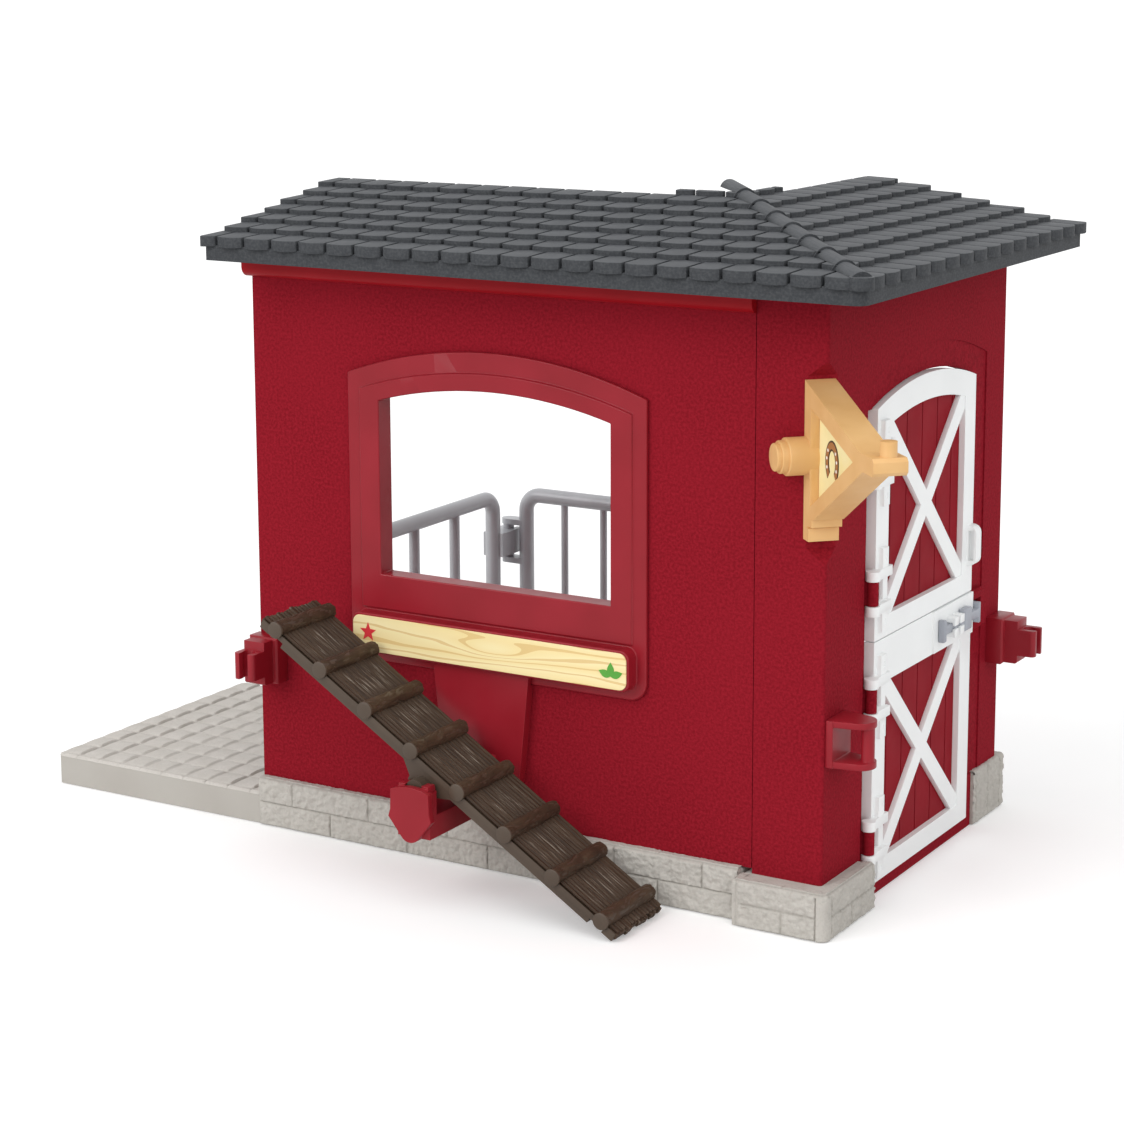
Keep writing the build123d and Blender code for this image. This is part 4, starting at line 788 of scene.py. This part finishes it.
def block(work, low, high, round):
    # a small box with rounded edges, in millimetres
    made = bmesh.ops.create_cube(work, size=1.0)["verts"]
    for vert in made:
        vert.co = Vector((low[i] + (high[i] - low[i]) * (vert.co[i] + 0.5)) * mm for i in range(3))
    roundedOver(work, list({e for v in made for e in v.link_edges}), round)


def rampEnds():
    # ragged strip ends past the last logs
    look = {**rampSpan, "near": -31.7, "far": -8.7, "strip": 1.53, "gap": 0.06, "top": 6.2, "thick": 1.7,
            "back": 3.0, "reach": (0.1, 0.95), "lift": (-0.12, 0.25), "seed": 11, "round": 0.25}
    chance = random.Random(look["seed"])
    work = bmesh.new()
    for end, way in ((look["left"], -1), (look["right"], 1)):
        for i in range(int((look["far"] - look["near"]) / look["strip"])):
            y = look["near"] + i * look["strip"]
            out = end + way * chance.uniform(*look["reach"])
            back = end - way * look["back"]
            top = look["top"] + chance.uniform(*look["lift"])
            block(work, (min(out, back), y + look["gap"], look["top"] - look["thick"]),
                  (max(out, back), y + look["strip"] - look["gap"], top), look["round"])
    mesh = meshFrom(work, "rampEndStrips")
    mesh.transform(onRamp)
    finished("rampEndStrips", mesh, "ramp", "bark_brown", "plankBrown")


def logEnds():
    # the smooth round ends of the logs
    look = {"count": 8, "first": -57.5, "pitch": 16.71, "near": -32.75, "far": -31.9, "radius": 2.3,
            "top": 6.5, "round": 0.28, "sides": 28}
    work = bmesh.new()
    for i in range(look["count"]):
        middle = Vector((look["first"] + i * look["pitch"], (look["near"] + look["far"]) / 2, look["top"])) * mm
        made = bmesh.ops.create_cone(
            work, cap_ends=True, segments=look["sides"], depth=(look["far"] - look["near"]) * mm,
            radius1=look["radius"] * mm, radius2=look["radius"] * mm,
            matrix=Matrix.Translation(middle) @ Matrix.Rotation(math.pi / 2, 4, "X"))["verts"]
        rims = [e for e in {e for v in made for e in v.link_edges} if e.calc_face_angle(0) > 1.0]
        roundedOver(work, rims, look["round"])
    mesh = meshFrom(work, "rampLogEnds")
    mesh.transform(onRamp)
    finished("rampLogEnds", mesh, "ramp", "bark_brown", "rampBrown")


rampDeck()
rampLogs()
rampEnds()
logEnds()
print("ramp dressed")


def printedShape(name, patches, place, finish, slot, thick=0.1):
    # flat patches drawn in x and z in millimetres, raised a hair above their ground
    work = bmesh.new()
    for patch in patches:
        for corners in patch:
            work.faces.new([work.verts.new((x * mm, 0.05 * mm, z * mm)) for x, z in corners])
    bmesh.ops.remove_doubles(work, verts=work.verts, dist=1e-7)
    for item in bmesh.ops.extrude_face_region(work, geom=work.faces[:])["geom"]:
        if isinstance(item, bmesh.types.BMVert):
            item.co.y = -thick * mm
    mesh = meshFrom(work, name)
    mesh.transform(place)
    finished(name, mesh, "barn", slot, finish, sharp=20)


def fan(outline, middle):
    return [(middle, outline[i], outline[(i + 1) % len(outline)]) for i in range(len(outline))]


def starOutline(size, waist, points=5):
    rays = [(size if i % 2 == 0 else waist, math.pi * i / points) for i in range(points * 2)]
    return [(reach * math.sin(angle), reach * math.cos(angle)) for reach, angle in rays]


def leafOutline(long, wide, angle, foot):
    side = [(long * t, wide / 2 * math.sin(math.pi * t ** 0.85)) for t in [i / 9 for i in range(10)]]
    loop = side + [(x, -y) for x, y in reversed(side[1:-1])]
    turn = Matrix.Rotation(math.radians(angle), 2)
    return [tuple(turn @ Vector(p) + Vector(foot)) for p in loop]


def shoeBand(tall, wide, band):
    # a horseshoe, open at the bottom
    arc = [math.radians(a) for a in range(-50, 231, 10)]
    outer, inner = ([((wide / 2 - cut) * math.cos(a), (tall / 2 - cut) * math.sin(a)) for a in arc]
                    for cut in (0, band))
    return [(outer[i], outer[i + 1], inner[i + 1], inner[i]) for i in range(len(arc) - 1)]


motifLook = {
    "star": (-133.3, 61.9), "starSize": 2.7, "starWaist": 1.15, "leaves": (-57.6, 60.0), "leafLong": 3.7,
    "leafWide": 2.0, "boardFace": -5.62, "shoe": (14.0, 122.4), "shoeTall": 11.0, "shoeWide": 9.4,
    "shoeBand": 2.5, "shoeRim": 0.45, "shoeFace": -1.76, "nail": 0.42, "nailSides": 8}
onBoard = Matrix.Translation(Vector((0, motifLook["boardFace"], 0)) * mm)
starX, starZ = motifLook["star"]
star = [(x + starX, z + starZ) for x, z in starOutline(motifLook["starSize"], motifLook["starWaist"])]
printedShape("boardStar", [fan(star, (starX, starZ))], onBoard, "printRed", "wood_label")
foot, long = motifLook["leaves"], motifLook["leafLong"]
for i, angle in enumerate((20, 90, 160)):
    middle = (foot[0] + long / 2 * math.cos(math.radians(angle)),
              foot[1] + long / 2 * math.sin(math.radians(angle)))
    leaf = fan(leafOutline(long, motifLook["leafWide"], angle, foot), middle)
    printedShape(f"boardLeaf{i}", [leaf], onBoard, "printGreen", "wood_label", 0.1 + 0.02 * i)
# the bracket stands at 45 degrees on the corner, and its pieces are made in its own frame
toBracket = Matrix.Rotation(math.radians(-45), 4, "Z") @ Matrix.Translation(Vector((-3.85, -0.6, 0)) * mm)
shoeX, shoeZ = motifLook["shoe"]
onBracket = toBracket @ Matrix.Translation(Vector((shoeX, motifLook["shoeFace"], shoeZ)) * mm)
tall, wide, band, rim = (motifLook[key] for key in ("shoeTall", "shoeWide", "shoeBand", "shoeRim"))
shoe = {"shoeEdge": (shoeBand(tall, wide, band), "printDark", 0.06),
        "shoeFace": (shoeBand(tall - 2 * rim, wide - 2 * rim, band - 2 * rim), "printBrown", 0.12)}
for name, (patch, finish, thick) in shoe.items():
    printedShape(name, [patch], onBracket, finish, "picture_yellow", thick)
nails, sides = [], motifLook["nailSides"]
for degrees in (-20, 10, 40, 140, 170, 200):
    angle = math.radians(degrees)
    x, z = (wide - band) / 2 * math.cos(angle), (tall - band) / 2 * math.sin(angle)
    turns = [2 * math.pi * k / sides for k in range(sides)]
    rim = [(x + motifLook["nail"] * math.cos(a), z + motifLook["nail"] * math.sin(a)) for a in turns]
    nails.append(fan(rim, (x, z)))
printedShape("shoeNails", nails, onBracket, "printWhite", "picture_yellow", 0.18)
print("motifs placed")


# the moulded pieces that get rounded edges: each one's body and the width in millimetres
softEdges = {
    "window_frame": ("barn", 0.35), "ramp_cradle": ("barn", 0.3), "left_clip": ("barn", 0.25),
    "rear_clip": ("barn", 0.25), "column_loop": ("barn", 0.2), "tack_bracket": ("barn", 0.35),
    "hip_caps": ("barn", 0.45), "upper_door_frame": ("upper_door", 0.25),
    "lower_door_frame": ("lower_door", 0.25), "door_bolt": ("bolt", 0.2), "roof_shell": ("barn", 0.4),
    "board_label": ("barn", 0.1)}
edgeLook = {"merge": 0.6, "angle": 28.0, "sharp": 40.0, "flat": 60.0}
knobLook = {"x": 0.6, "z": 121.9, "base": -1.5, "turns": 44, "round": 0.35, "roundSteps": 4,
            "steps": ((4.75, -9.2), (4.1, -10.9), (3.5, -12.1)), "face": -3.97,
            "notch": ((4.62, -12.0, 116.1), (10.0, -2.9, 125.9))}
# the bracket's own knob is cut off, and a rounder one takes its place
notchWork = bmesh.new()
block(notchWork, *knobLook["notch"], 0.01)
notchMesh = meshFrom(notchWork, "notch")
notchMesh.transform(toBracket)
notch = placed("notch", notchMesh)
knobCut = (toBracket @ Vector((0, knobLook["face"] * mm, 0)), toBracket.to_3x3() @ Vector((0, -1, 0)))
for name, (body, width) in softEdges.items():
    softened(name, body, width, edgeLook, *((knobCut, notch) if name == "tack_bracket" else ()))
bpy.data.objects.remove(notch)
print("edges rounded:", len(softEdges))


def bracketKnob():
    # stepped round knob, turned about an axis that lies along the bracket's thickness
    steps, round, turns = knobLook["steps"], knobLook["round"], knobLook["turns"]
    profile = [(steps[0][0], knobLook["base"])]
    for i, (radius, far) in enumerate(steps):
        for k in range(knobLook["roundSteps"] + 1):
            angle = k / knobLook["roundSteps"] * math.pi / 2
            profile.append((radius - round + round * math.cos(angle), far + round - round * math.sin(angle)))
        if i + 1 < len(steps):
            profile.append((steps[i + 1][0], far))
    work = bmesh.new()
    angles = [2 * math.pi * k / turns for k in range(turns)]
    rings = [[work.verts.new(((knobLook["x"] + radius * math.cos(a)) * mm, y * mm,
                              (knobLook["z"] + radius * math.sin(a)) * mm)) for a in angles]
             for radius, y in profile]
    for near, far in zip(rings, rings[1:]):
        bandBetween(work, near, far)
    work.faces.new(rings[0])
    work.faces.new(rings[-1])
    mesh = meshFrom(work, "bracketKnob")
    mesh.transform(toBracket)
    finished("bracketKnob", mesh, "barn", "tan_plastic", sharp=35)


def eaveMoulding():
    # glossy strip under the eave: a flat lip that rounds back to the wall below
    look = {"left": -175.5, "right": -19.5, "low": 156.0, "mid": 158.61, "proud": 2.7, "top": 161.8,
            "skin": 0.06, "inWall": 0.1, "bends": 8, "bulge": (0.75, 0.35)}
    out, up = look["bulge"]
    first, last = Vector((0, look["low"])), Vector((-look["proud"], look["mid"]))
    through = Vector((-look["proud"] * out, look["low"] + (look["mid"] - look["low"]) * up))
    one, two = through - first, last - first
    scale = 2 * (one.x * two.y - one.y * two.x)
    centre = first + Vector((two.y * one.length_squared - one.y * two.length_squared,
                             one.x * two.length_squared - two.x * one.length_squared)) / scale
    radius = (first - centre).length + look["skin"]
    begin, finish = (math.atan2(spot.y - centre.y, spot.x - centre.x) for spot in (first, last))
    turn = (finish - begin + math.pi) % (2 * math.pi) - math.pi
    angles = [begin + turn * k / look["bends"] for k in range(look["bends"] + 1)]
    outline = [centre + radius * Vector((math.cos(a), math.sin(a))) for a in angles]
    outline += [Vector((-look["proud"] - look["skin"], look["top"])),
                Vector((look["inWall"], look["top"])), Vector((look["inWall"], look["low"]))]
    work = bmesh.new()
    ends = [[work.verts.new((x * mm, p.x * mm, p.y * mm)) for p in outline]
            for x in (look["left"] - look["skin"], look["right"])]
    bandBetween(work, *ends)
    for end in ends:
        work.faces.new(end)
    finished("eaveMoulding", meshFrom(work, "eaveMoulding"), "barn", "red_smooth", "eaveRed")


bracketKnob()
eaveMoulding()
print("knob and eave moulding made")


cameraLook = {"spot": (272.8, -581.0, 245.2), "yaw": 30.92, "pitch": 10.26, "roll": -0.23,
              "focal": 2671.3, "picture": 1124, "sensor": 36.0, "shift": -0.12}
camera = placed("camera", bpy.data.cameras.new("camera"))
bpy.context.scene.camera = camera
camera.data.sensor_width = cameraLook["sensor"]
camera.data.lens = cameraLook["sensor"] * cameraLook["focal"] / cameraLook["picture"]
camera.data.shift_y = cameraLook["shift"]
camera.data.clip_start, camera.data.clip_end = 0.01, 200.0
camera.matrix_world = (
    Matrix.Translation(Vector(cameraLook["spot"]) * mm)
    @ Matrix.Rotation(math.radians(cameraLook["yaw"]), 4, "Z")
    @ Matrix.Rotation(math.radians(90 - cameraLook["pitch"]), 4, "X")
    @ Matrix.Rotation(math.radians(cameraLook["roll"]), 4, "Z"))

floorLook = {"reach": 30, "below": 0.2, "tone": 0.86, "glow": 0.24}
floorMesh = bpy.data.meshes.new("floor")
corners = [(x * floorLook["reach"], y * floorLook["reach"], -floorLook["below"] * mm)
           for x, y in ((-1, -1), (1, -1), (1, 1), (-1, 1))]
floorMesh.from_pydata(corners, [], [(0, 1, 2, 3)])
floor = placed("floor", floorMesh)


def floorWhite(look):
    material = bpy.data.materials.new("floorWhite")
    material.use_nodes = True
    tree = material.node_tree
    tree.nodes.remove(tree.nodes["Principled BSDF"])
    plain = add(tree, "ShaderNodeBsdfDiffuse", Color=(look["tone"], look["tone"], look["tone"], 1))
    seen = tree.nodes.new("ShaderNodeLightPath").outputs["Is Camera Ray"]
    glow = add(tree, "ShaderNodeEmission", Strength=calc(tree, "MULTIPLY", seen, look["glow"]))
    both = tree.nodes.new("ShaderNodeAddShader")
    tree.links.new(plain.outputs[0], both.inputs[0])
    tree.links.new(glow.outputs[0], both.inputs[1])
    tree.links.new(both.outputs[0], tree.nodes["Material Output"].inputs["Surface"])
    return material


floorMesh.materials.append(floorWhite(floorLook))


def lamp(name, energy, turn, spread):
    data = bpy.data.lights.new(name, "SUN")
    data.energy = energy
    data.angle = math.radians(spread)
    placed(name, data).rotation_euler = [math.radians(a) for a in turn]


lamp("keyLight", 1.17, (60, 0, -22), 40)
lamp("sideLight", 0.55, (60, 0, 60), 40)
lamp("topLight", 0.6, (6, 0, 0), 60)

# the world lights the object at the fill level and is white where it is seen or mirrored
fillLevel = 0.62
world = bpy.data.worlds.new("studio")
bpy.context.scene.world = world
world.use_nodes = True
back = world.node_tree.nodes["Background"]
path = world.node_tree.nodes.new("ShaderNodeLightPath").outputs
shown = calc(world.node_tree, "MAXIMUM", path["Is Camera Ray"], path["Is Transmission Ray"],
             path["Is Glossy Ray"])
level = ranged(world.node_tree, shown, 0.0, 1.0, (fillLevel, 1.0))
world.node_tree.links.new(level, back.inputs["Strength"])
back.inputs["Color"].default_value = (1, 1, 1, 1)
bpy.context.scene.view_settings.view_transform = "Standard"
print("camera and light placed")
